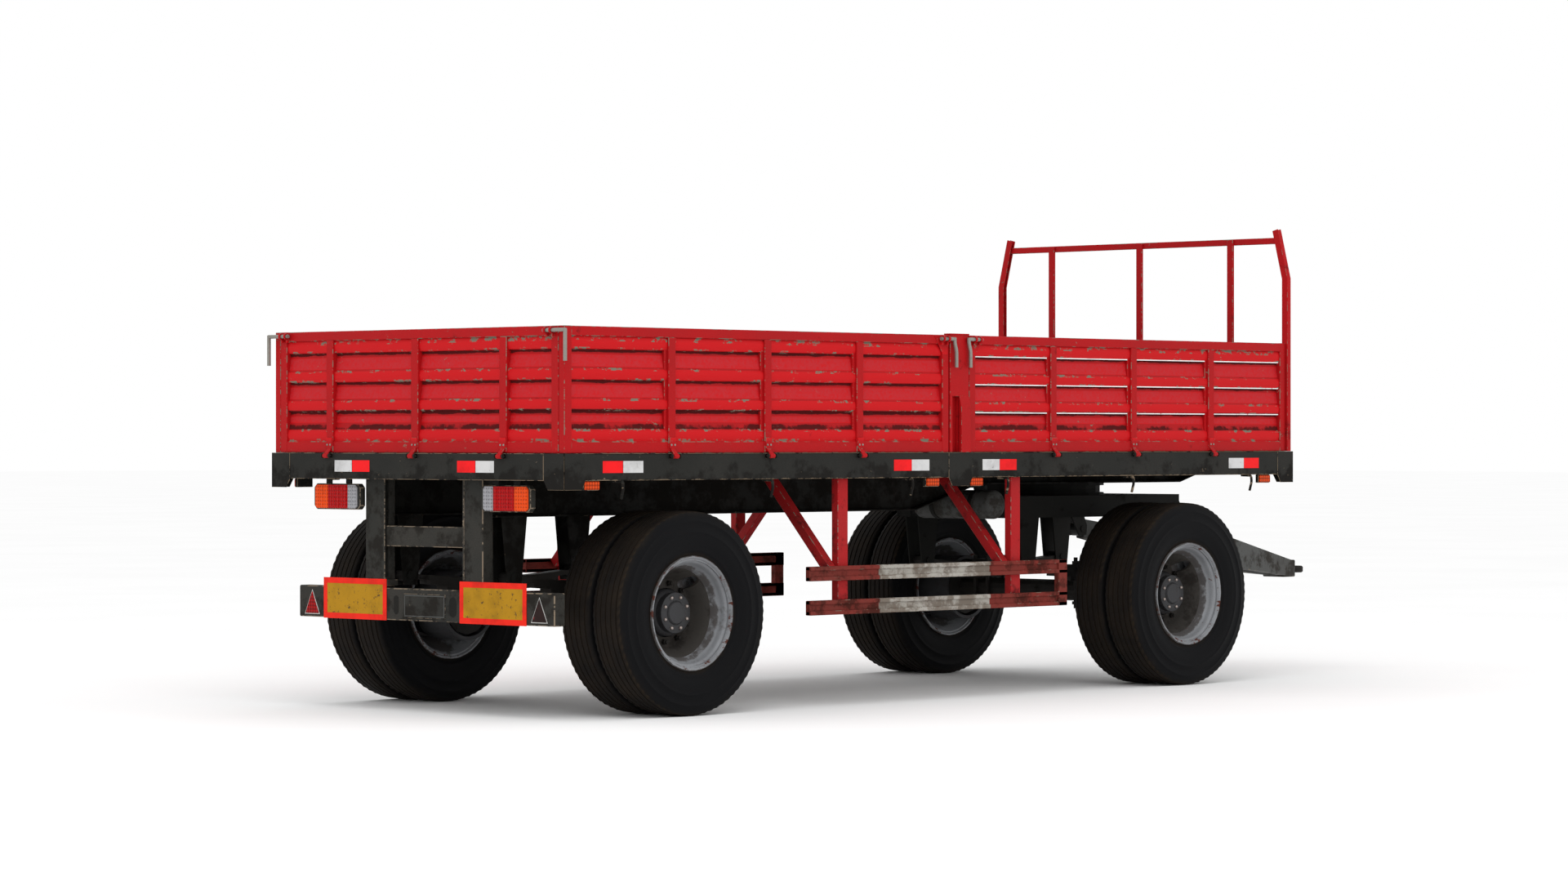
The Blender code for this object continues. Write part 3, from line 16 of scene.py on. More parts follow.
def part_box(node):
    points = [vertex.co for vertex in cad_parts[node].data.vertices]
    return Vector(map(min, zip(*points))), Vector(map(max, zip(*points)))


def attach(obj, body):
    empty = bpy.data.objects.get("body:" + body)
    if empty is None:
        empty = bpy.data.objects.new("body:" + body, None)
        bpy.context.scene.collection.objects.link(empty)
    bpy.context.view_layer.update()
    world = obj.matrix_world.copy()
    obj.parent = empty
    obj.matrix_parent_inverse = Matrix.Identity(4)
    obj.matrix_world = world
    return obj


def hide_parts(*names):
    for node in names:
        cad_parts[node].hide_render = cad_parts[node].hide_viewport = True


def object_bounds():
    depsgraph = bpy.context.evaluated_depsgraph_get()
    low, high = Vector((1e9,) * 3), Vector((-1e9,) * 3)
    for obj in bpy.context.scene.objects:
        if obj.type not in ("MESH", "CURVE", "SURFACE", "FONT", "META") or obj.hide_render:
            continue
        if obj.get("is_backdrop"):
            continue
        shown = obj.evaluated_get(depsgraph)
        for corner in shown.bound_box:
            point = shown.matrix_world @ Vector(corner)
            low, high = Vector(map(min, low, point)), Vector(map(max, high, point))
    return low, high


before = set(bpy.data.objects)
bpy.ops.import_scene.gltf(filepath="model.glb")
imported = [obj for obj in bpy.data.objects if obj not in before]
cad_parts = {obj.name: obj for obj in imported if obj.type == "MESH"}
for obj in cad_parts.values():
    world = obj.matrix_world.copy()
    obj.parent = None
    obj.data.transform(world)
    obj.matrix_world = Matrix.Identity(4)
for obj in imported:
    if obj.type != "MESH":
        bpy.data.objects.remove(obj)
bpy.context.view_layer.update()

# %% [markdown]
# ## Places along the trailer
#
# Lengths are easiest to read as distances forward of the tailgate. The headboard's inner face
# is 6.265 m forward of it, and the measured model says where that face is, so one subtraction
# turns any distance into the X that Blender needs.

# %% Places that many pieces share
BODY_LENGTH = 6.31
HALF_WIDTH = 1.20
BOARD_THICK = 0.045
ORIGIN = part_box("headboard_panel")[0][0] - (BODY_LENGTH - BOARD_THICK)
BOARD_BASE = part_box("headboard_panel")[0][2]
BOARD_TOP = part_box("headboard_panel")[1][2]
BOARD_HEIGHT = BOARD_TOP - BOARD_BASE
RAIL_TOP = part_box("front_sill")[1][2]
RAIL_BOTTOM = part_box("front_sill")[0][2]
FRAME_Y = HALF_WIDTH + 0.015
REAR_AXLE = 0.949
FRONT_AXLE = 5.272
AXLE_Z = 0.563
BAY_SPLIT = 3.158
SIDES = (("right", -1), ("left", 1))
ROOT = "trailer"
FIT = 0.0005                    # gap between neighbouring sub-parts
LAP = 0.004                     # how far parts run into each other where they join
TUCK = 0.0006                   # keeps the faces of overlapping parts apart
CLEAR = 0.002                   # gap beside a moving piece


def at(distance):
    """World X of a place given forward of the tailgate's outer face."""
    return distance + ORIGIN


print("board base", round(BOARD_BASE, 4), "rail", round(RAIL_BOTTOM, 4), round(RAIL_TOP, 4))

# %% [markdown]
# ## Tools for making metal shapes
#
# Almost everything here is bent, rolled or turned metal. Four tools make it: a box, a prism
# pushed out from an outline, a ring spun from a profile, and a rod swept along a path. Real
# steel has no perfectly sharp edges, so boxes and prisms get a narrow chamfer. It catches the
# light, and it is marked so that the paint can chip there first, as it does on a real trailer.


# %% Basic solids
def chamfered(mesh, width):
    """Cut a narrow chamfer along the sharp edges; material slot 1 marks it for now."""
    if width <= 0:
        return mesh
    sharp = [e for e in mesh.edges if e.is_manifold and e.calc_face_angle() > 0.6]
    cut = bmesh.ops.bevel(mesh, geom=sharp, offset=width, offset_type="OFFSET", segments=1,
                          profile=0.5, affect="EDGES", clamp_overlap=True, material=-1)
    for face in cut["faces"]:
        face.material_index = 1
    return mesh


def box(x0, x1, y0, y1, z0, z1, chamfer=0.003):
    """A box between two corners, given in any order."""
    mesh = bmesh.new()
    bmesh.ops.create_cube(mesh, size=1.0)
    size = (abs(x1 - x0), abs(y1 - y0), abs(z1 - z0))
    bmesh.ops.scale(mesh, vec=size, verts=mesh.verts[:])
    middle = ((x0 + x1) / 2, (y0 + y1) / 2, (z0 + z1) / 2)
    bmesh.ops.translate(mesh, vec=middle, verts=mesh.verts[:])
    return chamfered(mesh, min(chamfer, min(size) * 0.3))


def prism(outline, axis, start, end, chamfer=0.003):
    """An outline (YZ for axis X, XZ for Y, XY for Z) pushed out along an axis."""
    lift = {
        "X": lambda p, q, a: (a, p, q),
        "Y": lambda p, q, a: (p, a, q),
        "Z": lambda p, q, a: (p, q, a),
    }[axis]
    mesh = bmesh.new()
    face = mesh.faces.new([mesh.verts.new(lift(p, q, start)) for p, q in outline])
    grown = bmesh.ops.extrude_face_region(mesh, geom=[face])["geom"]
    far = [item for item in grown if isinstance(item, bmesh.types.BMVert)]
    step = Vector(lift(0, 0, end)) - Vector(lift(0, 0, start))
    bmesh.ops.translate(mesh, vec=step, verts=far)
    bmesh.ops.recalc_face_normals(mesh, faces=mesh.faces[:])
    return chamfered(mesh, min(chamfer, abs(end - start) * 0.3))


def turned(profile, axis, centre, sides=48):
    """A closed (radius, along) profile spun once round an axis."""
    mesh = bmesh.new()
    verts = [mesh.verts.new((radius, 0.0, along)) for radius, along in profile]
    for first, second in zip(verts, verts[1:] + verts[:1]):
        mesh.edges.new((first, second))
    bmesh.ops.spin(mesh, geom=mesh.verts[:] + mesh.edges[:], cent=(0, 0, 0),
                   axis=(0, 0, 1), angle=math.tau, steps=sides, use_merge=True)
    bmesh.ops.remove_doubles(mesh, verts=mesh.verts[:], dist=0.00001)
    loose = [edge for edge in mesh.edges if not edge.link_faces]
    bmesh.ops.delete(mesh, geom=loose, context="EDGES")
    turn = {"X": Matrix.Rotation(math.pi / 2, 4, "Y"),
            "Y": Matrix.Rotation(-math.pi / 2, 4, "X"),
            "Z": Matrix.Identity(4)}[axis]
    bmesh.ops.transform(mesh, matrix=Matrix.Translation(centre) @ turn, verts=mesh.verts[:])
    bmesh.ops.recalc_face_normals(mesh, faces=mesh.faces[:])
    return mesh


def cylinder(axis, centre, radius, half, sides=16):
    """A cylinder centred on a point, with its rims eased."""
    ease = min(radius, half) * 0.15
    return turned([(0, -half), (radius - ease, -half), (radius, -half + ease),
                   (radius, half - ease), (radius - ease, half), (0, half)],
                  axis, centre, sides)


def rod(points, width, height=None, sides=12, up=(0, 0, 1), chamfer=0.0):
    """A bar swept along a path: round with many sides, square with four."""
    height = height or width
    path = [Vector(point) for point in points]
    steps = [(b - a).normalized() for a, b in zip(path, path[1:])]
    offset = math.pi / sides
    reach = 1 / math.cos(offset) if sides == 4 else 1.0
    mesh = bmesh.new()
    rings = []
    for i, point in enumerate(path):
        after = steps[min(i, len(steps) - 1)]
        along = (steps[max(i - 1, 0)] + after).normalized()
        stretch = 1 / max(along.dot(after), 0.5)
        across = after.cross(Vector(up)).normalized()
        rise = across.cross(along).normalized()
        ring = []
        for k in range(sides):
            angle = offset + k * math.tau / sides
            right = math.cos(angle) * reach * width / 2
            high = math.sin(angle) * reach * height / 2 * stretch
            ring.append(mesh.verts.new(point + across * right + rise * high))
        rings.append(ring)
    for lower, upper in zip(rings, rings[1:]):
        for i in range(sides):
            j = (i + 1) % sides
            mesh.faces.new((lower[i], lower[j], upper[j], upper[i]))
    mesh.faces.new(rings[0])
    mesh.faces.new(rings[-1])
    bmesh.ops.recalc_face_normals(mesh, faces=mesh.faces[:])
    return chamfered(mesh, chamfer)


def rounded(points, radius, steps=4):
    """A path with its corners replaced by short arcs."""
    path = [Vector(point) for point in points]
    smooth = [path[0]]
    for before, corner, after in zip(path, path[1:], path[2:]):
        start = corner + (before - corner).normalized() * radius
        end = corner + (after - corner).normalized() * radius
        for step in range(steps + 1):
            t = step / steps
            smooth.append(start.lerp(corner, t).lerp(corner.lerp(end, t), t))
    smooth.append(path[-1])
    return smooth


def carried(parts, matrix):
    """Parts moved by a matrix."""
    for part in parts:
        bmesh.ops.transform(part, matrix=matrix, verts=part.verts[:])
        bmesh.ops.recalc_face_normals(part, faces=part.faces[:])
    return parts


# %% [markdown]
# ## From parts to a finished piece
#
# `piece` welds parts into one object, gives it a material, parents it to the empty of the body it
# rides on and hides the measured sub-parts it stands for. It also stores two masks on the mesh.
# `worn` says where paint chips first, and the second mask says where dirt gathers and, under
# the bands of a board, where shade is painted in. A material can read a mask through an
# Attribute node, so the wear follows the shape instead of being pasted on.


# %% Finished pieces
def piece(name, parts, material, body, replaces=(), grime_and_shade=None, wear=None, angle=35):
    """Join parts into one shown object that rides on a body."""
    joined = bmesh.new()
    for part in parts:
        carrier = bpy.data.meshes.new("carrier")
        part.to_mesh(carrier)
        part.free()
        joined.from_mesh(carrier)
        bpy.data.meshes.remove(carrier)
    data = bpy.data.meshes.new(name)
    joined.to_mesh(data)
    joined.free()
    worn = data.attributes.new("worn", "FLOAT", "FACE")
    for index, face in enumerate(data.polygons):
        value = float(face.material_index)
        if wear is not None:
            value = max(value, wear(face.center))
        worn.data[index].value = value
        face.material_index = 0
    dirt_and_shade = data.attributes.new("grime_and_shade", "FLOAT", "POINT")
    if grime_and_shade is not None:
        for index, vertex in enumerate(data.vertices):
            dirt_and_shade.data[index].value = grime_and_shade(vertex.co)
    data.shade_smooth()
    data.set_sharp_from_angle(angle=math.radians(angle))
    data.materials.append(material)
    thing = bpy.data.objects.new(name, data)
    bpy.context.scene.collection.objects.link(thing)
    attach(thing, body)
    if replaces:
        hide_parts(*replaces)
    return thing


# %% [markdown]
# ## Worn paint
#
# Old trailer paint has four layers of history: a colour that has faded unevenly, dirt in the
# corners, chips down to primer or bare metal at the edges, and a little rust. The dirt layer
# also carries painted shade, such as the dark strip under each band of a board. Each layer is a
# noise pattern cut off at some level and mixed over the one below. All patterns use Object
# coordinates in metres, so a scale of 20 gives spots about 50 mm apart on every piece.


# %% Shader helpers
def shader(name):
    """A new material; returns it with its node tree and Principled shader."""
    material = bpy.data.materials.new(name)
    material.use_nodes = True
    tree = material.node_tree
    return material, tree, tree.nodes["Principled BSDF"]


def feed(tree, socket, value):
    """Set a socket to a value, or link another node's output to it."""
    if isinstance(value, bpy.types.NodeSocket):
        tree.links.new(value, socket)
    elif isinstance(value, tuple) and len(value) == 3 and len(socket.default_value) == 4:
        socket.default_value = (*value, 1.0)
    else:
        socket.default_value = value


def spots(tree, scale, detail=6.0, roughness=0.6, stretch=(1, 1, 1), offset=0.0):
    """A noise pattern in object space, from 0 to 1."""
    coordinates = tree.nodes.new("ShaderNodeTexCoord")
    place = tree.nodes.new("ShaderNodeMapping")
    place.inputs["Scale"].default_value = stretch
    place.inputs["Location"].default_value = (offset, offset, offset)
    noise = tree.nodes.new("ShaderNodeTexNoise")
    noise.inputs["Scale"].default_value = scale
    noise.inputs["Detail"].default_value = detail
    noise.inputs["Roughness"].default_value = roughness
    tree.links.new(coordinates.outputs["Object"], place.inputs["Vector"])
    tree.links.new(place.outputs["Vector"], noise.inputs["Vector"])
    return noise.outputs["Fac"]


def mask(tree, name):
    """One of the mesh's own masks."""
    attribute = tree.nodes.new("ShaderNodeAttribute")
    attribute.attribute_name = name
    return attribute.outputs["Fac"]


def maths(tree, kind, first, second=0.0):
    """One arithmetic step."""
    step = tree.nodes.new("ShaderNodeMath")
    step.operation = kind
    feed(tree, step.inputs[0], first)
    feed(tree, step.inputs[1], second)
    return step.outputs[0]


def ramp(tree, value, low, high):
    """0 below low, 1 above high, smooth in between."""
    span = tree.nodes.new("ShaderNodeMapRange")
    span.interpolation_type = "SMOOTHSTEP"
    feed(tree, span.inputs["Value"], value)
    span.inputs["From Min"].default_value = low
    span.inputs["From Max"].default_value = high
    return span.outputs["Result"]


def blend(tree, amount, under, over):
    """Colour over laid on colour under by an amount."""
    mix = tree.nodes.new("ShaderNodeMix")
    mix.data_type = "RGBA"
    feed(tree, mix.inputs[0], amount)
    feed(tree, mix.inputs[6], under)
    feed(tree, mix.inputs[7], over)
    return mix.outputs[2]


def bump(tree, socket, height, strength, distance):
    """Turn a height pattern into surface relief on a shader's normal socket."""
    relief = tree.nodes.new("ShaderNodeBump")
    relief.inputs["Strength"].default_value = strength
    relief.inputs["Distance"].default_value = distance
    tree.links.new(height, relief.inputs["Height"])
    tree.links.new(relief.outputs["Normal"], socket)


# %% The paint recipe
def worn_paint(name, colour, faded, chip, dirt_and_shade, chip_level=0.70, dirt_and_shade_level=0.62,
               gloss=0.42, chip_scale=26.0, metal=0.0, edge_weight=0.15, raised=None,
               sunken=None):
    """Paint that has faded, chipped at its edges and gathered dirt in its corners.

    The dirt colour also paints shade where the mask is high, under the bands of a board. A
    mask value of -0.5 marks a raised band and -1 the middle of a recess, where a board's
    paint is brighter or bleached.
    """
    material, tree, surface = shader(name)
    patch = ramp(tree, spots(tree, 2.2, 4.0), 0.35, 0.70)
    grain = ramp(tree, spots(tree, 140.0, 3.0, 0.7), 0.30, 0.75)
    base = blend(tree, patch, colour, faded)
    darker = tuple(0.74 * part for part in colour)
    base = blend(tree, maths(tree, "MULTIPLY", grain, 0.55), base, darker)

    if raised:
        relief = maths(tree, "MULTIPLY", mask(tree, "grime_and_shade"), -1.0)
        base = blend(tree, ramp(tree, relief, 0.20, 0.50), base, raised)
        speckle = ramp(tree, spots(tree, 60.0, 5.0, 0.7, offset=2.0), 0.30, 0.62)
        bleached = maths(tree, "MULTIPLY", ramp(tree, relief, 0.55, 0.95), speckle)
        base = blend(tree, bleached, base, sunken)

    # Dirt colour where the mask is high: real dirt, and on the boards also painted shade under
    # each band.
    shade_and_dirt = maths(tree, "MAXIMUM", mask(tree, "grime_and_shade"), 0.0)
    gathered = maths(tree, "MULTIPLY", shade_and_dirt, 0.34)
    smudge_and_shade = maths(tree, "ADD", spots(tree, 8.0, 8.0, 0.68, offset=3.0), gathered)
    smudged_and_shaded = ramp(tree, smudge_and_shade, dirt_and_shade_level, dirt_and_shade_level + 0.16)
    base = blend(tree, maths(tree, "MULTIPLY", smudged_and_shaded, 0.85), base, dirt_and_shade)

    edge = maths(tree, "MULTIPLY", mask(tree, "worn"), edge_weight)
    broken = maths(tree, "ADD", spots(tree, chip_scale, 7.0, 0.72, (0.6, 0.6, 1.0), 7.0), edge)
    region = maths(tree, "MULTIPLY", spots(tree, 3.1, 2.0, 0.5, offset=11.0), 0.16)
    broken = maths(tree, "ADD", broken, region)
    chipped = ramp(tree, broken, chip_level + 0.08, chip_level + 0.11)
    base = blend(tree, chipped, base, chip)
    tree.links.new(base, surface.inputs["Base Color"])

    rough = maths(tree, "MULTIPLY", smudged_and_shaded, 0.35)
    rough = maths(tree, "ADD", rough, maths(tree, "MULTIPLY", chipped, 0.25))
    rough = maths(tree, "ADD", rough, gloss)
    tree.links.new(rough, surface.inputs["Roughness"])
    surface.inputs["Metallic"].default_value = metal
    surface.inputs["Specular IOR Level"].default_value = 0.08
    dents = maths(tree, "SUBTRACT", spots(tree, 12.0, 5.0, 0.55), chipped)
    bump(tree, surface.inputs["Normal"], dents, 0.22, 0.004)
    return material


RED = worn_paint("red_paint", (0.43, 0.0060, 0.0085), (0.37, 0.0085, 0.0105),
                 (0.175, 0.165, 0.125), (0.022, 0.005, 0.005), 0.665, 0.66,
                 raised=(0.53, 0.0065, 0.0095), sunken=(0.47, 0.020, 0.026))
FRAME_BLACK = worn_paint("black_paint", (0.0195, 0.0195, 0.0175), (0.026, 0.025, 0.022),
                         (0.190, 0.145, 0.100), (0.012, 0.011, 0.010), 0.665, 0.60, 0.55,
                         edge_weight=0.22)
DEEP_BLACK = worn_paint("under_black", (0.011, 0.011, 0.010), (0.016, 0.015, 0.013),
                        (0.080, 0.062, 0.045), (0.007, 0.006, 0.005), 0.76, 0.55, 0.62)
BUMPER_GREY = worn_paint("bumper_paint", (0.028, 0.028, 0.025), (0.040, 0.037, 0.032),
                         (0.210, 0.165, 0.120), (0.016, 0.014, 0.012), 0.71, 0.58, 0.55,
                         edge_weight=0.24)
GUARD_RED = worn_paint("guard_paint", (0.21, 0.027, 0.020), (0.16, 0.034, 0.026),
                       (0.210, 0.160, 0.120), (0.045, 0.014, 0.010), 0.72, 0.58, 0.55)
GUARD_WHITE = worn_paint("guard_white", (0.42, 0.40, 0.36), (0.34, 0.32, 0.28),
                         (0.120, 0.075, 0.055), (0.150, 0.120, 0.095), 0.68, 0.54, 0.55)
POST_RED = worn_paint("post_paint", (0.42, 0.012, 0.015), (0.36, 0.025, 0.024),
                      (0.200, 0.190, 0.150), (0.060, 0.012, 0.012), 0.68, 0.62, 0.48)
GREY = worn_paint("grey_paint", (0.085, 0.087, 0.084), (0.070, 0.070, 0.066),
                  (0.200, 0.170, 0.130), (0.030, 0.026, 0.022), 0.72, 0.58, 0.55)
FLOOR = worn_paint("floor_plate", (0.110, 0.085, 0.065), (0.085, 0.070, 0.058),
                   (0.200, 0.100, 0.050), (0.045, 0.036, 0.030), 0.66, 0.50, 0.7)
print("paints:", len([m for m in bpy.data.materials if m.name.endswith("paint")]))

# %% [markdown]
# ## Rims, iron, rubber, lamps and tape
#
# The rim uses the same recipe with a silver coat. Rubber is different: it does not chip, it
# goes brown with dust, most of all on the tread and near the rim, where the dirt mask is
# high. Lamp lenses are coloured plastic with a moulded grid whose grooves are painted darker as
# shade, and reflective tape is a bright, slightly rough film with cracks in it.

# %% Other materials
RIM = worn_paint("rim_coat", (0.27, 0.28, 0.295), (0.17, 0.175, 0.185),
                 (0.085, 0.030, 0.022), (0.060, 0.052, 0.048), 0.655, 0.60, 0.42, 22.0, 0.15)
DISH = worn_paint("dish_coat", (0.046, 0.042, 0.038), (0.038, 0.034, 0.030),
                  (0.062, 0.042, 0.032), (0.022, 0.019, 0.017), 0.74, 0.60, 0.60)
HUB = worn_paint("hub_coat", (0.055, 0.055, 0.058), (0.042, 0.042, 0.043),
                 (0.055, 0.032, 0.024), (0.040, 0.035, 0.032), 0.72, 0.64, 0.42, 34.0, 0.15)
IRON = worn_paint("cast_iron", (0.032, 0.030, 0.028), (0.024, 0.021, 0.018),
                  (0.070, 0.045, 0.032), (0.012, 0.010, 0.009), 0.70, 0.55, 0.62, 30.0, 0.3)
STEEL = worn_paint("bare_steel", (0.30, 0.29, 0.26), (0.24, 0.22, 0.19),
                   (0.150, 0.120, 0.090), (0.080, 0.065, 0.050), 0.68, 0.56, 0.42, 50.0, 0.5)
BOLT = worn_paint("bolt_steel", (0.42, 0.36, 0.33), (0.34, 0.28, 0.25),
                  (0.150, 0.080, 0.055), (0.080, 0.055, 0.045), 0.72, 0.60, 0.30, 60.0, 0.7)


def rubber(name, colour, dust):
    """Tyre rubber with dust held by the grime mask."""
    material, tree, surface = shader(name)
    level = maths(tree, "MULTIPLY", mask(tree, "grime_and_shade"), 0.62)
    level = maths(tree, "ADD", level, maths(tree, "MULTIPLY", spots(tree, 7.0, 6.0), 0.5))
    dusty = ramp(tree, level, 0.30, 0.95)
    tree.links.new(blend(tree, dusty, colour, dust), surface.inputs["Base Color"])
    tree.links.new(maths(tree, "ADD", maths(tree, "MULTIPLY", dusty, 0.3), 0.52),
                   surface.inputs["Roughness"])
    surface.inputs["Specular IOR Level"].default_value = 0.04
    bump(tree, surface.inputs["Normal"], spots(tree, 160.0, 4.0, 0.6), 0.25, 0.002)
    return material


def lens(name, colour, grid=95.0):
    """A lamp lens moulded in small ribs."""
    material, tree, surface = shader(name)
    coordinates = tree.nodes.new("ShaderNodeTexCoord")
    heights = []
    for direction in ("X", "Y", "Z"):
        wave = tree.nodes.new("ShaderNodeTexWave")
        wave.bands_direction = direction
        wave.inputs["Scale"].default_value = grid / 6.0
        tree.links.new(coordinates.outputs["Object"], wave.inputs["Vector"])
        heights.append(wave.outputs["Fac"])
    grid_height = maths(tree, "ADD", maths(tree, "ADD", heights[0], heights[1]), heights[2])
    # The grid's low parts take a darker copy of the lens colour: painted shade in the grooves.
    shade = ramp(tree, grid_height, 0.4, 2.2)
    deep = tuple(0.35 * part for part in colour)
    dusty = ramp(tree, spots(tree, 30.0), 0.52, 0.80)
    tone = blend(tree, shade, deep, colour)
    tone = blend(tree, maths(tree, "MULTIPLY", dusty, 0.3), tone, (0.06, 0.02, 0.015))
    tree.links.new(tone, surface.inputs["Base Color"])
    surface.inputs["Roughness"].default_value = 0.25
    surface.inputs["Specular IOR Level"].default_value = 0.08
    bump(tree, surface.inputs["Normal"], grid_height, 0.6, 0.002)
    return material


def film(name, colour, stain, level=0.60, gloss=0.35):
    """Reflective tape or a plate's film, cracked and stained."""
    material, tree, surface = shader(name)
    crack = ramp(tree, spots(tree, 38.0, 9.0, 0.75), level, level + 0.05)
    patch = ramp(tree, spots(tree, 9.0, 5.0, offset=5.0), 0.40, 0.75)
    faded = tuple(0.72 * part for part in colour)
    tone = blend(tree, patch, colour, faded)
    tree.links.new(blend(tree, crack, tone, stain), surface.inputs["Base Color"])
    surface.inputs["Roughness"].default_value = gloss
    surface.inputs["Specular IOR Level"].default_value = 0.10
    bump(tree, surface.inputs["Normal"], crack, 0.2, 0.001)
    return material


TYRE = rubber("tyre_rubber", (0.0060, 0.0061, 0.0068), (0.026, 0.019, 0.013))
TAPE_RED = film("tape_red", (0.86, 0.009, 0.012), (0.40, 0.02, 0.02), 0.68)
TAPE_WHITE = film("tape_white", (0.62, 0.62, 0.62), (0.22, 0.21, 0.20), 0.60)
PLATE_YELLOW = film("plate_yellow", (0.42, 0.215, 0.006), (0.09, 0.05, 0.015), 0.575)
PLATE_RED = film("plate_red", (0.82, 0.020, 0.008), (0.30, 0.03, 0.02), 0.68)
LENS_RED = lens("lens_red", (0.42, 0.004, 0.005))
LENS_ORANGE = lens("lens_orange", (0.80, 0.075, 0.008))
LENS_CLEAR = lens("lens_clear", (0.34, 0.34, 0.36))
PLATE_DARK = film("plate_dark", (0.020, 0.008, 0.007), (0.45, 0.014, 0.012), 0.60)
PLATE_LINE = film("plate_line", (0.50, 0.50, 0.48), (0.10, 0.08, 0.06), 0.58)
# White film for thin strips on the front boards: a painted highlight under their upper bands.
PAINTED_HIGHLIGHT = film("seam_light", (0.90, 0.88, 0.87), (0.62, 0.05, 0.05), 0.60)
print("materials:", len(bpy.data.materials))

# %% [markdown]
# ## The drop boards
#
# A drop board is a sheet pressed into long bands for stiffness, framed by rails and ribs. The
# section is drawn once as (depth, height) and pushed out along the board. The bands are
# slightly round, and the recess between two bands leans outwards towards its foot, so it
# catches light at the bottom; at its top, under the band above, it is painted darker as shade,
# with some dirt. Ribs, corner stiles, hinge straps and rivets are laid over it, and the front
# boards get thin white strips under their upper bands as a painted highlight. A board is built
# lying along X with its outside towards -Y, and then turned into place.

# %% The pressed section
TOP_RAIL = 0.053
BOTTOM_RAIL = 0.063
BAND_FIRST = 0.070
BAND_PITCH = 0.164
BAND_HEIGHT = 0.056
BAND_FACE = 0.038
BAND_CROWN = 0.006
BAND_LIP = 0.006                # height of the slope from a band into its recess
TOP_DEPTH = 0.030               # the sheet inside the top rail
RECESS_FOOT = 0.027
RECESS_HEAD = 0.015
RECESS_COUNT = 3
STILE_WIDTH = 0.055
RIB_WIDTH = 0.055
RIB_FACE = 0.048
RIB_FLANGE = 0.020              # the low strip beside a rib
SKIN = 0.001                    # how far thin films stand off what they lie on


def section():
    """The board's outline as (depth, height)."""
    inside, front = 2 * TUCK, BOARD_THICK - 0.006
    points = [(inside, CLEAR), (front, CLEAR), (front, BOTTOM_RAIL)]
    for index in range(RECESS_COUNT + 1):
        low = BAND_FIRST + index * BAND_PITCH
        tall = BAND_HEIGHT if index < RECESS_COUNT else BOARD_HEIGHT - TOP_RAIL - BAND_LIP - low
        for t in (0.0, 0.14, 0.32, 0.5, 0.68, 0.86, 1.0):
            points.append((BAND_FACE - BAND_CROWN * (2 * t - 1) ** 2, low + tall * t))
        if index < RECESS_COUNT:
            foot = low + tall + BAND_LIP + 0.001
            head = low + BAND_PITCH - BAND_LIP
            for t in (0.0, 0.10, 0.25, 0.45, 0.7, 0.9, 1.0):
                depth = RECESS_HEAD + (RECESS_FOOT - RECESS_HEAD) * (1 - t) ** 2
                points.append((depth, foot + (head - foot) * t))
    points.append((TOP_DEPTH, BOARD_HEIGHT - TOP_RAIL + LAP))
    points.append((TOP_DEPTH, BOARD_HEIGHT - LAP))
    points.append((inside, BOARD_HEIGHT - LAP))
    return points


def board_shade_and_grime(spot):
    """Bright bands, bleached recesses, and painted shade plus some dirt under each band."""
    height = spot.z - BOARD_BASE - BAND_FIRST
    index = math.floor(height / BAND_PITCH)
    within = height - index * BAND_PITCH
    if height < 0 or spot.z > BOARD_TOP - TOP_RAIL - 0.003:
        return 0.12
    if index >= RECESS_COUNT or within < BAND_HEIGHT + 0.003:
        return -0.5
    t = (within - BAND_HEIGHT) / (BAND_PITCH - BAND_HEIGHT)
    # The top of each recess, under the band above, is darkened as painted shade, with some dirt.
    if t > 0.88:
        return 1.6
    if t > 0.75:
        return 0.9
    if index == 0 and t < 0.45:
        return 1.15 - 1.6 * t
    return -1.0 if 0.12 < t < 0.75 else 0.4


def board_wear(spot):
    """Paint chips first along the bands' edges and the rails' edges."""
    height = spot.z - BOARD_BASE
    within = (height - BAND_FIRST) % BAND_PITCH
    near = min(within, abs(within - BAND_HEIGHT), BAND_PITCH - within)
    top = abs(height - (BOARD_HEIGHT - TOP_RAIL))
    return 0.75 if min(near, top) < 0.009 else 0.0


# %% Boards, ribs, straps and rivets
STRAP_WIDTH = 0.050
STRAP_HEIGHT = 0.085
STRAP_FACE = RIB_FACE + 0.006
RIVET_SHIFT = 0.013
RIVET_HEIGHT = 0.045
KNUCKLE_RADIUS = 0.013
HINGE_DROP = 0.0165
HINGE_OUTSET = 0.0145
KNUCKLE_DEPTH = BOARD_THICK + 0.015 + HINGE_OUTSET


def strap_parts(place):
    """A hinge strap with its knuckle."""
    under = STRAP_FACE - TUCK
    high = STRAP_HEIGHT - 0.001
    outline = [(BOARD_THICK - 0.001, high), (under, high), (under, 0.022),
               (KNUCKLE_DEPTH + 0.009, -HINGE_DROP + 0.007),
               (KNUCKLE_DEPTH - 0.006, -HINGE_DROP + 0.009),
               (BOARD_THICK + 0.017, 0.003), (BOARD_THICK - 0.001, 0.012)]
    outline = [(-depth, height) for depth, height in outline]
    half = STRAP_WIDTH / 2
    parts = [prism(outline, "X", place - half * 0.62, place + half * 0.62, 0.0015),
             cylinder("X", (place, -KNUCKLE_DEPTH, -HINGE_DROP), KNUCKLE_RADIUS, half * 0.8),
             box(place - half, place + half, -RIB_FACE, -STRAP_FACE, 0.026, STRAP_HEIGHT,
                 0.0015)]
    return parts


def rivet_parts(ribs):
    """Two rivets through each hinge strap."""
    parts = []
    for place in ribs:
        for shift in (-RIVET_SHIFT, RIVET_SHIFT):
            centre = (place + shift, -STRAP_FACE, RIVET_HEIGHT)
            parts.append(cylinder("Y", centre, 0.0058, 0.003, 12))
    return parts


LATCH_OUT = 0.022               # a latch rod's axis off the board's face
LATCH_DROP = 0.024              # and below the board's top
EYE_BORE, EYE_RADIUS, EYE_HALF = 0.0125, 0.018, 0.006
EYE_SPACING = 0.045


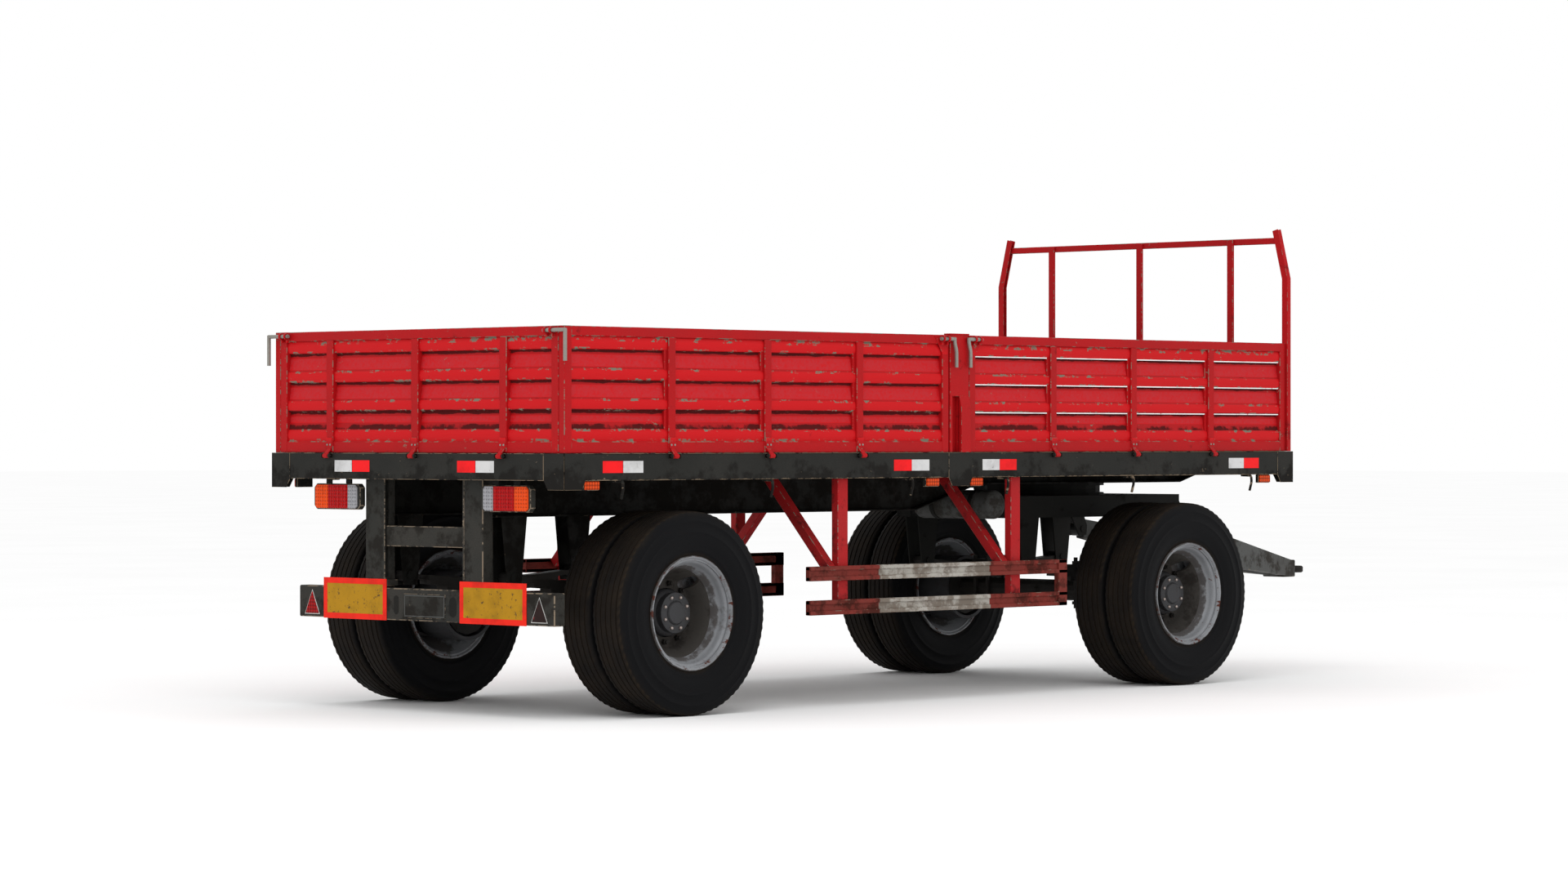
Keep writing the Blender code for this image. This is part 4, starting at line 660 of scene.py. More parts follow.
def board_parts(length, ribs, straps=True, eyes=()):
    """A board from the origin along +X, outside towards -Y, standing on z = 0."""
    outline = [(-depth, height) for depth, height in section()]
    parts = [prism(outline, "X", LAP, length - LAP, 0.0)]
    for start in (0.0, length - STILE_WIDTH):
        parts.append(box(start, start + STILE_WIDTH, 0.0, -BOARD_THICK, 0.0, BOARD_HEIGHT))
    rail = BOARD_HEIGHT - TOP_RAIL
    inner = STILE_WIDTH - CLEAR
    parts.append(box(inner, length - inner, -TUCK, -BOARD_THICK + TUCK, rail,
                     BOARD_HEIGHT - TUCK))
    parts.append(box(inner, length - inner, -TUCK, -BOARD_THICK + CLEAR, TUCK, BOTTOM_RAIL))
    for place in ribs:
        left, right = place - RIB_WIDTH / 2, place + RIB_WIDTH / 2
        parts.append(box(left, right, -0.010, -RIB_FACE, 0.003, rail + 0.001))
        parts.append(box(left - RIB_FLANGE, left + 0.001, -0.010, -BOARD_THICK + 0.012,
                         BOTTOM_RAIL - CLEAR, rail + CLEAR, 0.002))
        if straps:
            parts += strap_parts(place)
    for place in eyes:
        height = BOARD_HEIGHT - LATCH_DROP
        ring = [(EYE_BORE, -EYE_HALF), (EYE_RADIUS, -EYE_HALF), (EYE_RADIUS, EYE_HALF),
                (EYE_BORE, EYE_HALF)]
        parts.append(turned(ring, "X", (place, -BOARD_THICK - LATCH_OUT, height), 20))
        parts.append(box(place - 0.005, place + 0.005, -BOARD_THICK + 0.005,
                         -BOARD_THICK - 0.020, height - 0.034, height - 0.015, 0.001))
    return parts


def turned_board(parts, x, y, turn):
    """Board parts carried from the origin to their place on the bed."""
    matrix = Matrix.Translation((x, y, BOARD_BASE)) @ Matrix.Rotation(turn, 4, "Z")
    return carried(parts, matrix)


# %% Side boards
POST_GAP = 0.090                # middle of the bay gap to each board's end
RIB_START = 0.758               # from the post end of a board to its nearest rib
RIB_PITCH = 0.752
POST_TO_LATCH = 0.050           # a board's end to the middle of its latch's eyes
INSIDE_Y = HALF_WIDTH - BOARD_THICK
rear_end = BAY_SPLIT - POST_GAP
front_start = BAY_SPLIT + POST_GAP
front_end = BODY_LENGTH - BOARD_THICK - CLEAR
BAYS = (
    ("rear", 0.001, rear_end, [rear_end - RIB_START - i * RIB_PITCH for i in range(3)], -1),
    ("front", front_start, front_end,
     [front_start + RIB_START + i * RIB_PITCH for i in range(3)], 1),
)


def corner_gusset(length, near_start):
    """A thin triangle at the board's top, beside the middle post."""
    inset, wide, narrow, tall = 0.012, 0.115, 0.042, 0.110
    edge = inset if near_start else length - inset
    away = 1 if near_start else -1
    top = BOARD_HEIGHT - LAP
    outline = [(edge, top), (edge + away * wide, top), (edge + away * narrow, top - tall),
               (edge, top - tall)]
    return prism(outline, "Y", -BOARD_THICK, -BOARD_THICK - 0.0015, 0.0)


def highlight_strips(length, ribs):
    """White strips under the three upper bands, between the ribs: a painted highlight."""
    parts = []
    edges = [STILE_WIDTH] + [place for place in ribs] + [length - STILE_WIDTH]
    for index in range(1, RECESS_COUNT + 1):
        height = BAND_FIRST + index * BAND_PITCH
        for k, (left, right) in enumerate(zip(edges, edges[1:])):
            start = left + (0.004 if k == 0 else RIB_WIDTH / 2)
            end = right - (0.004 if k == len(edges) - 2 else RIB_WIDTH / 2 + 0.021)
            parts.append(box(start, end, -BAND_FACE + 0.012, -BAND_FACE + 0.0045,
                             height - 0.0055, height + 0.0005, 0.0))
    return parts


for word, side in SIDES:
    for bay, start, end, ribs, away in BAYS:
        length = end - start
        body = f"side_board_{bay}_{word}"
        post = length if away < 0 else 0.0
        eyes = [post + away * (POST_TO_LATCH + shift)
                for shift in (-EYE_SPACING / 2, EYE_SPACING / 2)]
        local = [place - start for place in ribs]
        x, y, turn = at(start), -INSIDE_Y, 0.0
        if side > 0:
            local = [length - place for place in local]
            eyes = [length - place for place in eyes]
            post = length - post
            x, y, turn = at(end), INSIDE_Y, math.pi
        local.sort()
        parts = board_parts(length, local, eyes=eyes)
        parts.append(corner_gusset(length, post == 0.0))
        piece(f"board_{bay}_{word}", turned_board(parts, x, y, turn), RED, body,
              (body,), board_shade_and_grime, board_wear)
        rivets = turned_board(rivet_parts(local), x, y, turn)
        piece(f"rivets_{bay}_{word}", rivets, STEEL, body)
        # The front boards get white strips as a painted highlight under their upper bands.
        if bay == "front":
            highlights = turned_board(highlight_strips(length, local), x, y, turn)
            piece(f"board_highlights_{bay}_{word}", highlights, PAINTED_HIGHLIGHT, body)
print("side boards:", rear_end - 0.001, front_end - front_start)

# %% Tailgate and headboard
TAIL_RIBS = [-0.720, 0.0, 0.720]
TAIL_EYE = 0.030                # the tailgate's end to its outer eye
gate_half = INSIDE_Y - CLEAR
gate_eyes = [gate_half + side * (gate_half - TAIL_EYE - shift)
             for side in (-1, 1) for shift in (0.0, EYE_SPACING)]
gate = board_parts(2 * gate_half, [gate_half + place for place in TAIL_RIBS], eyes=gate_eyes)
gate = turned_board(gate, at(BOARD_THICK), gate_half, -math.pi / 2)
piece("tailgate_board", gate, RED, "tailgate", ("tailgate",),
      board_shade_and_grime, board_wear)
rivets = turned_board(rivet_parts([gate_half + place for place in TAIL_RIBS]),
                      at(BOARD_THICK), gate_half, -math.pi / 2)
piece("rivets_tailgate", rivets, STEEL, "tailgate")
CORNER_POST = 0.046
head_half = FRAME_Y - CORNER_POST - CLEAR
head = board_parts(2 * head_half, [head_half + place for place in TAIL_RIBS], straps=False)
head = turned_board(head, at(BODY_LENGTH - BOARD_THICK), -head_half, math.pi / 2)
piece("headboard", head, RED, ROOT, ("headboard_panel",), board_shade_and_grime, board_wear)

# %% [markdown]
# ## Middle posts
#
# Between two side boards stands a post that the latches close against. Its foot is a folded
# box that tapers into the post, and it drops into a pocket on the frame.

# %% Middle posts
POST_FACE = HALF_WIDTH + 0.005
POST_RUN = 0.008                # gap between the post and each board
POST_FOOT = HALF_WIDTH + 0.022
POST_KNEE = 0.330               # height of the folded foot
POST_TAPER = 0.070


def post_parts(side):
    """A middle post with its tapered foot and cap."""
    half = POST_GAP - POST_RUN
    x0, x1 = at(BAY_SPLIT - half), at(BAY_SPLIT + half)
    inner, outer = side * INSIDE_Y, side * POST_FACE
    foot = side * POST_FOOT
    low, knee = BOARD_BASE, BOARD_BASE + POST_KNEE
    split = x0 + half * 0.98
    tuck = side * TUCK
    parts = [box(x0, x1, inner, outer, knee - LAP, BOARD_TOP + LAP),
             box(split, x1 - TUCK, inner + tuck, outer - tuck, low, knee),
             box(x0 + 2 * TUCK, split + CLEAR, inner + 2 * tuck, side * (POST_FACE - 0.034),
                 low, knee),
             box(x0 + TUCK, x0 + 0.022, inner + tuck, outer - tuck, low, knee)]
    wedge = [(outer - side * 0.010, low), (foot, low), (foot, knee - POST_TAPER), (outer, knee),
             (outer - side * 0.010, knee)]
    parts.append(prism(wedge, "X", split, x1, 0.002))
    parts.append(box(x0 - 0.0018, x1 + 0.0018, inner + side * 0.0003, outer + side * 0.003,
                     BOARD_TOP, BOARD_TOP + 0.009, 0.002))
    return parts


for word, side in SIDES:
    piece(f"post_{word}", post_parts(side), RED, ROOT, (f"mid_post_{word}",),
          lambda spot: 0.25)

# %% [markdown]
# ## Latches
#
# Each latch is one bent rod. Its straight stretch turns in two eyes on the board, and its long
# end hangs down as a handle. A swept circle along a rounded path makes it in one go.

# %% Latch rods
LATCH_Z = BOARD_TOP - LATCH_DROP
LATCH_WIDTH = 0.0215
LATCH_KNEE = 0.070              # the handle's bend below its corner
LATCH_TIP = 0.095               # and the tip below the bend
LATCH_REACH = 0.028             # a side latch's corner past its board's end


def latch(name, root, corner, slant, up, body):
    """A latch rod from its far end, round the corner and down to the handle's tip."""
    corner = Vector(corner)
    knee = corner + Vector(slant) - Vector((0, 0, LATCH_KNEE))
    tip = knee - Vector((0, 0, LATCH_TIP))
    straight = rod([root, corner + (corner - Vector(root)).normalized() * LAP],
                   LATCH_WIDTH, sides=14)
    handle = rod(rounded([corner + Vector((0, 0, 0.008)),
                          corner - Vector((0, 0, 0.022)), knee, tip], 0.016),
                 LATCH_WIDTH, sides=14, up=up)
    piece(name, [straight, handle], STEEL, body, (body,))


for word, side in SIDES:
    x = at(-LATCH_OUT)
    corner_y = side * (HALF_WIDTH + TAIL_EYE)
    latch(f"latch_rear_{word}", (x, side * (gate_half - 0.093), LATCH_Z),
          (x, corner_y, LATCH_Z), (0.0, 0.0, 0.0), (1, 0.3, 0), f"rear_latch_{word}")
    for bay, start, end, ribs, away in BAYS:
        edge = end if away < 0 else start
        y = side * (HALF_WIDTH + LATCH_OUT)
        latch(f"latch_{bay}_{word}", (at(edge + away * 0.090), y, LATCH_Z),
              (at(edge - away * LATCH_REACH), y, LATCH_Z), (0.012, side * 0.0035, 0.0),
              (0.3, 1, 0), f"mid_latch_{bay}_{word}")

# %% [markdown]
# ## The headboard rack
#
# The rack keeps a tall load off the towing vehicle. Its corner posts are folded C-sections
# with the open side inwards. They stand on the frame beside the headboard, straight for most of
# their height and leaning in at the top. Flat uprights stand behind one top rail.

# %% Rack
RACK_X = at(BODY_LENGTH - BOARD_THICK)
RACK_DEPTH = 0.036
RACK_BEND = 2.535
RACK_TOP = 2.845
RACK_LEAN = 0.077
RACK_RAIL = (2.757, 2.797)
UPRIGHTS = (-0.751, 0.0, 0.751)
UPRIGHT_HALF = 0.024
UPRIGHT_DEPTH = 0.019


def rack_parts():
    """Corner posts, uprights and the top rail."""
    wall = 0.007
    y = FRAME_Y - CORNER_POST / 2
    foot = BOARD_BASE + FIT
    flange = CORNER_POST - CLEAR
    web = (CORNER_POST - wall) / 2
    parts = []
    for _, side in SIDES:
        for across, x, wide, deep in ((web, RACK_DEPTH / 2, wall, RACK_DEPTH),
                                      (0.0, wall / 2 + TUCK, flange, wall),
                                      (0.0, RACK_DEPTH - wall / 2 - TUCK, flange, wall)):
            low = (RACK_X + x, side * (y + across), foot)
            bend = (RACK_X + x, side * (y + across), RACK_BEND)
            top = (RACK_X + x, side * (y + across - RACK_LEAN), RACK_TOP)
            parts.append(rod([low, bend, top], deep, wide, sides=4, up=(0, 1, 0),
                             chamfer=0.0015))
    low, high = RACK_RAIL
    reach = y - RACK_LEAN * (low - RACK_BEND) / (RACK_TOP - RACK_BEND)
    front = RACK_X + UPRIGHT_DEPTH
    parts.append(box(front - CLEAR, RACK_X + RACK_DEPTH - CLEAR, -reach, reach, low, high))
    for place in UPRIGHTS:
        parts.append(box(RACK_X + 0.001, front, place - UPRIGHT_HALF, place + UPRIGHT_HALF,
                         BOARD_TOP + 0.001, high - CLEAR))
    return parts


piece("rack", rack_parts(), RED, ROOT, ("headboard_rack",), lambda spot: 0.25)

# %% [markdown]
# ## The bed frame
#
# The side rails are rolled channels. Plates are welded over their ends and over the middle
# pocket, and they hang below the rail with their lower corners cut off. The paint is thin
# here, so the lower edges show primer.

# %% Rails and sills
PLATE_DROP = 0.196
PLATE_CUT = 0.050
PLATE_WALL = 0.006
PLATE_PROUD = 0.003             # the plates stand out from the rail's web by this
END_PLATE = 0.160
POCKET_HALF = 0.104


def rail_grime(spot):
    """Road dirt rises from the frame's lower edge."""
    return max(0.0, min(1.0, 1.0 - (spot.z - RAIL_BOTTOM + 0.05) / 0.12))


def rail_wear(spot):
    """The lower edge is scraped."""
    return 0.65 if spot.z < RAIL_BOTTOM + 0.006 else 0.0


def channel(face, inward, start, end, axis):
    """A rolled channel, its web towards face; inward is the way its flanges point."""
    wall, flange = 0.008, 0.060
    web = face + inward * wall
    tip = face + inward * flange
    parts = []
    spans = [(face, web, RAIL_BOTTOM, RAIL_TOP), (face, tip, RAIL_BOTTOM, RAIL_BOTTOM + wall),
             (face, tip, RAIL_TOP - wall, RAIL_TOP)]
    for near, far, low, high in spans:
        if axis == "X":
            parts.append(box(start, end, near, far, low, high))
        else:
            parts.append(box(near, far, start, end, low, high))
    return parts


def hanging_plate(x0, x1, y, side, cut_start, cut_end):
    """A plate over the rail's face whose lower corners are cut off."""
    low = RAIL_TOP - PLATE_DROP
    outline = [(x0, RAIL_TOP), (x0, low + (PLATE_CUT if cut_start else 0))]
    if cut_start:
        outline.append((x0 + PLATE_CUT * 0.6, low))
    outline.append((x1 - (PLATE_CUT * 0.6 if cut_end else 0), low))
    if cut_end:
        outline.append((x1, low + PLATE_CUT))
    outline.append((x1, RAIL_TOP))
    return prism(outline, "Y", y, y - side * PLATE_WALL, 0.002)


def hook_part(x, side):
    """A rope hook bent from rod under the rail."""
    y = FRAME_Y + 0.002
    under = RAIL_BOTTOM
    path = [(x, side * (y - 0.080), under - 0.004), (x, side * (y - 0.004), under - 0.006),
            (x, side * y, under - 0.045), (x, side * (y - 0.016), under - 0.100)]
    return rod(rounded(path, 0.012, 3), 0.0165, sides=10, up=(1, 0, 0))


def cheek_parts(turn, x, y):
    """Two round cheeks and the pin of a board hinge."""
    half, thick, radius, pin = 0.0280, 0.008, 0.0143, 0.006
    parts = [cylinder("X", (0, -HINGE_OUTSET, 0), pin, half + 0.012, 10)]
    for start in (-half - thick, half):
        parts.append(cylinder("X", (start + thick / 2, -HINGE_OUTSET, 0), radius, thick / 2, 20))
        parts.append(box(start, start + thick, CLEAR, -HINGE_OUTSET, -radius, radius, 0.001))
    matrix = Matrix.Translation((x, y, BOARD_BASE - HINGE_DROP)) @ Matrix.Rotation(turn, 4, "Z")
    return carried(parts, matrix)


HOOKS = (0.42, 1.58, 2.74)
rear_face, front_face = at(-0.015), at(BODY_LENGTH + 0.015)
for word, side in SIDES:
    face = side * (FRAME_Y - PLATE_PROUD)
    parts = channel(face, -side, rear_face + PLATE_PROUD, front_face - PLATE_PROUD, "X")
    plate = side * FRAME_Y
    parts.append(hanging_plate(rear_face, rear_face + END_PLATE, plate, side, False, True))
    parts.append(hanging_plate(front_face - END_PLATE, front_face, plate, side, True, False))
    middle = at(BAY_SPLIT)
    parts.append(hanging_plate(middle - POCKET_HALF, middle + POCKET_HALF, plate, side, True,
                               True))
    low = RAIL_TOP - PLATE_DROP
    inner = FRAME_Y - END_PLATE
    wrap = [(FRAME_Y, RAIL_TOP), (FRAME_Y, low), (inner + PLATE_CUT * 0.6, low),
            (inner, low + PLATE_CUT), (inner, RAIL_TOP)]
    wrap = [(side * y, z) for y, z in wrap]
    parts.append(prism(wrap, "X", rear_face, rear_face + PLATE_WALL, 0.002))
    parts.append(prism(wrap, "X", front_face - PLATE_WALL, front_face, 0.002))
    turn = math.pi if side > 0 else 0.0
    for bay, start, end, ribs, away in BAYS:
        for place in ribs:
            parts += cheek_parts(turn, at(place), side * FRAME_Y)
    for place in HOOKS:
        for x in (at(place), at(2 * BAY_SPLIT - place)):
            parts.append(hook_part(x, side))
    piece(f"rail_{word}", parts, FRAME_BLACK, ROOT,
          (f"side_rail_{word}",), rail_grime, rail_wear)

sill = channel(rear_face + 0.0065, 1, -FRAME_Y + 0.061, FRAME_Y - 0.061, "Y")
clear = FRAME_Y - END_PLATE - 0.002
sill.append(box(rear_face, rear_face + 0.010, -clear, clear, RAIL_BOTTOM, RAIL_TOP))
for place in TAIL_RIBS:
    sill += cheek_parts(-math.pi / 2, rear_face, place)
piece("rear_sill_channel", sill, FRAME_BLACK, ROOT, ("rear_sill",),
      rail_grime, rail_wear)
sill = channel(front_face - 0.0065, -1, -FRAME_Y + 0.061, FRAME_Y - 0.061, "Y")
piece("front_sill_channel", sill, FRAME_BLACK, ROOT, ("front_sill",),
      rail_grime, rail_wear)

# %% [markdown]
# ## Tapes and marker lamps
#
# Reflective tape is laid in pairs of red and white blocks, each 150 mm long. The small orange
# lamps hang on blocks under the rail.

# %% Tapes
TAPE_LOW, TAPE_HIGH = 1.336, 1.400
SIDE_TAPES = (("red", 0.272), ("white", 0.425), ("red", 2.584), ("white", 2.736),
              ("white", 3.352), ("red", 3.505), ("white", 5.672), ("red", 5.824))
REAR_TAPES = (("red", 0.365), ("white", 0.512))
TAPE_BLOCK = 0.150
TAPES = {"red": TAPE_RED, "white": TAPE_WHITE}


def tape_parts(colour, side):
    """Every block of one colour on one side rail and on that half of the rear sill."""
    parts = []
    for block, start in SIDE_TAPES:
        if block == colour:
            y = side * (FRAME_Y - PLATE_PROUD)
            parts.append(box(at(start), at(start + TAPE_BLOCK), y, y + side * SKIN,
                             TAPE_LOW, TAPE_HIGH, 0.0))
    for block, start in REAR_TAPES:
        if block == colour:
            x = rear_face
            parts.append(box(x, x - SKIN, side * start, side * (start + TAPE_BLOCK),
                             TAPE_LOW, TAPE_HIGH, 0.0))
    return parts


for word, side in SIDES:
    for colour, material in TAPES.items():
        piece(f"tape_{colour}_{word}", tape_parts(colour, side), material, ROOT)

# %% Marker lamps
MARKERS = (0.200, 2.926, 3.308, 6.045)
MARKER_HALF = 0.0575
MARKER_HEIGHT = 0.052
for word, side in SIDES:
    blocks, lenses = [], []
    for place in MARKERS:
        low, high = RAIL_BOTTOM - MARKER_HEIGHT, RAIL_BOTTOM
        y = side * (FRAME_Y - 0.006)
        x0, x1 = at(place - MARKER_HALF), at(place + MARKER_HALF)
        blocks.append(box(x0, x1, y - side * 0.010, y - side * 0.034, low, high))
        lenses.append(box(x0 + 0.004, x1 - 0.004, y, y - side * 0.011, low + 0.003,
                          high - 0.004, 0.003))
    piece(f"marker_block_{word}", blocks, FRAME_BLACK, ROOT)
    piece(f"marker_lens_{word}", lenses, LENS_ORANGE, ROOT)

# %% [markdown]
# ## Under the bed
#
# The two main beams are welded I-sections, deep behind and shallow over the turntable. Only
# their outlines differ from a plain beam, so each is one web and two flanges. Cross members,
# floor and springs keep their measured shapes and only need a finish.

# %% Main beams
BEAM_Y = 0.430
BEAM_REAR, BEAM_FRONT = 0.160, 6.250
BEAM_WEB, BEAM_HALF, BEAM_FLANGE = 0.010, 0.060, 0.010
beam_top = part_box("cross_member_1")[0][2] - FIT
DEEP, SHALLOW, NOSE = 1.090, 1.242, 1.287
BEAM_PATH = ((BEAM_REAR, DEEP), (3.570, DEEP), (4.140, SHALLOW), (6.090, SHALLOW),
             (BEAM_FRONT, NOSE))


def spring_hanger(place, y, top, eye):
    """Two cheeks and a pin, with a stiffening rib on each cheek."""
    cheek, wall, wide, narrow, drop = 0.047, 0.008, 0.095, 0.052, 0.055
    parts = []
    for side in (-1, 1):
        inner = y + side * cheek
        outline = [(at(place - wide), top), (at(place + wide), top),
                   (at(place + narrow), eye - drop), (at(place - narrow), eye - drop)]
        parts.append(prism(outline, "Y", inner, inner + side * wall, 0.002))
        parts.append(cylinder("Y", (at(place), inner + side * 0.010, eye), 0.030, 0.005, 16))
    parts.append(cylinder("Y", (at(place), y, eye), SPRING_PIN, 0.061, 16))
    return parts


SPRING_HALF = 0.650             # axle to spring pin
SPRING_PIN = 0.0195
AXLE_RADIUS = 0.065
SPRING_PACK = 0.100
SPRING_RISE = 0.025             # the eyes above the middle of the pack
EYE_Z = AXLE_Z + AXLE_RADIUS + FIT + SPRING_PACK + SPRING_RISE
for word, side in SIDES:
    y = side * BEAM_Y
    lower = [(at(d), z) for d, z in BEAM_PATH]
    web = lower + [(at(BEAM_FRONT), beam_top), (at(BEAM_REAR), beam_top)]
    flange = lower + [(at(d), z + BEAM_FLANGE) for d, z in reversed(BEAM_PATH)]
    parts = [prism(web, "Y", y - BEAM_WEB / 2, y + BEAM_WEB / 2, 0.0),
             prism(flange, "Y", y - BEAM_HALF, y + BEAM_HALF, 0.003),
             box(at(BEAM_REAR), at(BEAM_FRONT), y - BEAM_HALF, y + BEAM_HALF,
                 beam_top - BEAM_FLANGE, beam_top)]
    for place in (REAR_AXLE - SPRING_HALF, REAR_AXLE + SPRING_HALF):
        parts += spring_hanger(place, y, DEEP + LAP, EYE_Z)
    piece(f"beam_{word}", parts, DEEP_BLACK, ROOT,
          (f"main_beam_{word}",), lambda spot: 0.4)

# %% Finish for the measured pieces that stay as they are
FINISHES = (
    (DEEP_BLACK, ("cross_member_1", "cross_member_2", "cross_member_3", "cross_member_4",
                  "dolly_frame", "turntable_upper_ring", "turntable_lower_ring")),
    (FLOOR, ("deck_floor",)),
    (IRON, ("rear_spring_right", "rear_spring_left", "front_spring_right",
            "front_spring_left", "rear_axle", "front_axle")),
)
for material, names in FINISHES:
    for name in names:
        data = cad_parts[name].data
        data.materials.clear()
        data.materials.append(material)

# %% [markdown]
# ## The rear end
#
# The underrun bumper stops a car from running under the bed. It carries two marking plates,
# two triangular reflectors and a blank number-plate panel.

# %% Bumper
BUMPER_X = at(0.060)
BUMPER_DEPTH = 0.080
BUMPER_HALF = 1.060
BUMPER_LOW, BUMPER_HIGH = 0.512, 0.690
TIE_LOW, TIE_HIGH = 0.922, 1.036
BUMPER_POST = (0.3225, 0.4875)  # inner and outer side of a post
SADDLE = (0.300, 0.510)         # the angle where a post meets the beam
PANEL_Y, PANEL_Z = (-0.185, 0.160), (0.528, 0.662)
PROUD = 0.0042                  # how far the plates stand out from the bumper


def bumper_parts():
    """Posts, tie, beam and the blank number-plate panel."""
    x0, x1 = BUMPER_X, BUMPER_X + BUMPER_DEPTH
    tie = sum(BUMPER_POST) / 2
    parts = [box(x0, x1, -BUMPER_HALF, BUMPER_HALF, BUMPER_LOW, BUMPER_HIGH, 0.006),
             box(x0 + 0.012, x1 - 0.012, -tie, tie, TIE_LOW, TIE_HIGH, 0.005),
             box(x0 - 0.003, x0 + LAP, *PANEL_Y, *PANEL_Z, 0.003)]
    for _, side in SIDES:
        inner, outer = (side * y for y in BUMPER_POST)
        parts.append(box(x0 + 0.001, x1 - 0.001, inner, outer, BUMPER_LOW + 0.020, beam_top,
                         0.005))
        inner, outer = (side * y for y in SADDLE)
        parts.append(box(x0 + 0.001, x1, inner, outer, 0.700, 0.735, 0.003))
    return parts


def panel_frame():
    """The raised line round the blank number-plate panel."""
    parts = []
    for y0, y1, z0, z1 in ((-0.178, 0.153, 0.535, 0.541), (-0.178, 0.153, 0.649, 0.655),
                           (-0.178, -0.172, 0.542, 0.648), (0.147, 0.153, 0.542, 0.648)):
        parts.append(box(BUMPER_X - PROUD, BUMPER_X, y0, y1, z0, z1, 0.0008))
    return parts


def capsule(y0, y1, z0, z1, x):
    """A plate with rounded ends standing upright."""
    radius = (y1 - y0) / 2
    middle = (y0 + y1) / 2
    outline = []
    for centre, start in ((z1 - radius, 0.0), (z0 + radius, math.pi)):
        for step in range(13):
            angle = start + step * math.pi / 12
            outline.append((middle + radius * math.cos(angle),
                            centre + radius * math.sin(angle)))
    return prism(outline, "X", x, x + 0.003, 0.0006)


piece("bumper", bumper_parts(), BUMPER_GREY, ROOT, ("underrun_bumper",),
      lambda spot: 0.35)


def bordered(y0, y1, z0, z1, border, x):
    """A framed plate as (border parts, field parts)."""
    rim = [box(x, x + 0.004, y0, y1, z0, z0 + border, 0.001),
           box(x, x + 0.004, y0, y1, z1 - border, z1, 0.001),
           box(x, x + 0.004, y0, y0 + border, z0 + border, z1 - border, 0.001),
           box(x, x + 0.004, y1 - border, y1, z0 + border, z1 - border, 0.001)]
    field = [box(x + TUCK, x + 0.004, y0 + border, y1 - border, z0 + border, z1 - border,
                 0.0)]
    return rim, field


PLATE_Y, PLATE_Z = (0.304, 0.842), (0.509, 0.739)
PLATE_BORDER = 0.032
TRIANGLE_Y = 0.943
TRIANGLE_HALF = 0.066
TRIANGLE_LOW, TRIANGLE_HIGH = 0.528, 0.668
# Two dark capsules on the bumper's face stand for its slots: painted shade on flat plates, not
# holes.
slot_shades = [capsule(-0.275, -0.215, 0.540, 0.650, BUMPER_X - 0.0012),
         capsule(0.205, 0.245, 0.545, 0.650, BUMPER_X - 0.0012)]
piece("number_panel_frame", panel_frame(), GREY, ROOT)
piece("bumper_slot_shades", slot_shades, DEEP_BLACK, ROOT)
posts = []
for _, side in SIDES:
    inner = side * BUMPER_POST[0]
    posts.append(box(BUMPER_X - TUCK, BUMPER_X + 0.030, inner, inner + side * 0.016, 0.745,
                     beam_top - 0.010, 0.003))
piece("bumper_post_lips", posts, BUMPER_GREY, ROOT,
      wear=lambda spot: 0.5)

for word, side in SIDES:
    low_y, high_y = sorted(side * y for y in PLATE_Y)
    rim, field = bordered(low_y, high_y, *PLATE_Z, PLATE_BORDER, BUMPER_X - PROUD)
    piece(f"plate_border_{word}", rim, PLATE_RED, ROOT)
    piece(f"plate_field_{word}", field, PLATE_YELLOW, ROOT)
    middle = side * TRIANGLE_Y
    for label, grow, x, material in (
            ("line", 0.0, BUMPER_X - 0.0030, PLATE_LINE),
            ("field", 0.0045, BUMPER_X - PROUD, LENS_RED if side > 0 else PLATE_DARK)):
        half = TRIANGLE_HALF - 1.35 * grow
        low = TRIANGLE_LOW + grow
        triangle = [(middle - half, low), (middle + half, low),
                    (middle, TRIANGLE_HIGH - 1.7 * grow)]
        piece(f"triangle_{label}_{word}", [prism(triangle, "X", BUMPER_X, x, 0.0008)],
              material, ROOT)

# %% [markdown]
# Each rear lamp is a grey housing with three lenses in one line: orange outside, red in the
# middle and clear inside. A lens is moulded with rows of raised squares, which are real boxes
# here, because they break up its reflections from any angle.

# %% Rear lamps
LAMP_LOW, LAMP_HIGH = 1.123, 1.268
LAMP_INNER, LAMP_OUTER = 0.501, 0.899
LAMP_CUT = 0.022
LAMP_FACE = 0.026
LENS_CUT = 0.014
LENSES = (("orange", 0.884, 0.774, LENS_ORANGE, 3), ("red", 0.772, 0.606, LENS_RED, 5),
          ("clear", 0.604, 0.524, LENS_CLEAR, 2))
ROWS = 4
GROOVE = 0.004                  # between the raised squares of a lens


def cut_plate(y0, y1, low, high, cut_start, cut_end):
    """The outline of a plate with the corners cut off at either end."""
    outline = [(y0, low + cut_start), (y0 + cut_start, low), (y1 - cut_end, low),
               (y1, low + cut_end), (y1, high - cut_end), (y1 - cut_end, high),
               (y0 + cut_start, high), (y0, high - cut_start)]
    return [point for i, point in enumerate(outline) if point != outline[i - 1]]


def lens_parts(x, side, inner, outer, columns, cut_start, cut_end):
    """A lens cover with its grid of raised squares."""
    outline = cut_plate(inner, outer, LAMP_LOW + 0.006, LAMP_HIGH - 0.006, cut_start, cut_end)
    parts = [prism([(side * y, z) for y, z in outline], "X", x + 0.002, x + 0.020, 0.002)]
    low, high = LAMP_LOW + 0.012, LAMP_HIGH - 0.012
    wide = (outer - inner - 0.008) / columns
    tall = (high - low) / ROWS
    for i in range(columns):
        for j in range(ROWS):
            y0 = inner + 0.004 + i * wide + GROOVE / 2
            z0 = low + j * tall + GROOVE / 2
            parts.append(box(x, x + 0.004, side * y0, side * (y0 + wide - GROOVE), z0,
                             z0 + tall - GROOVE, 0.001))
    return parts


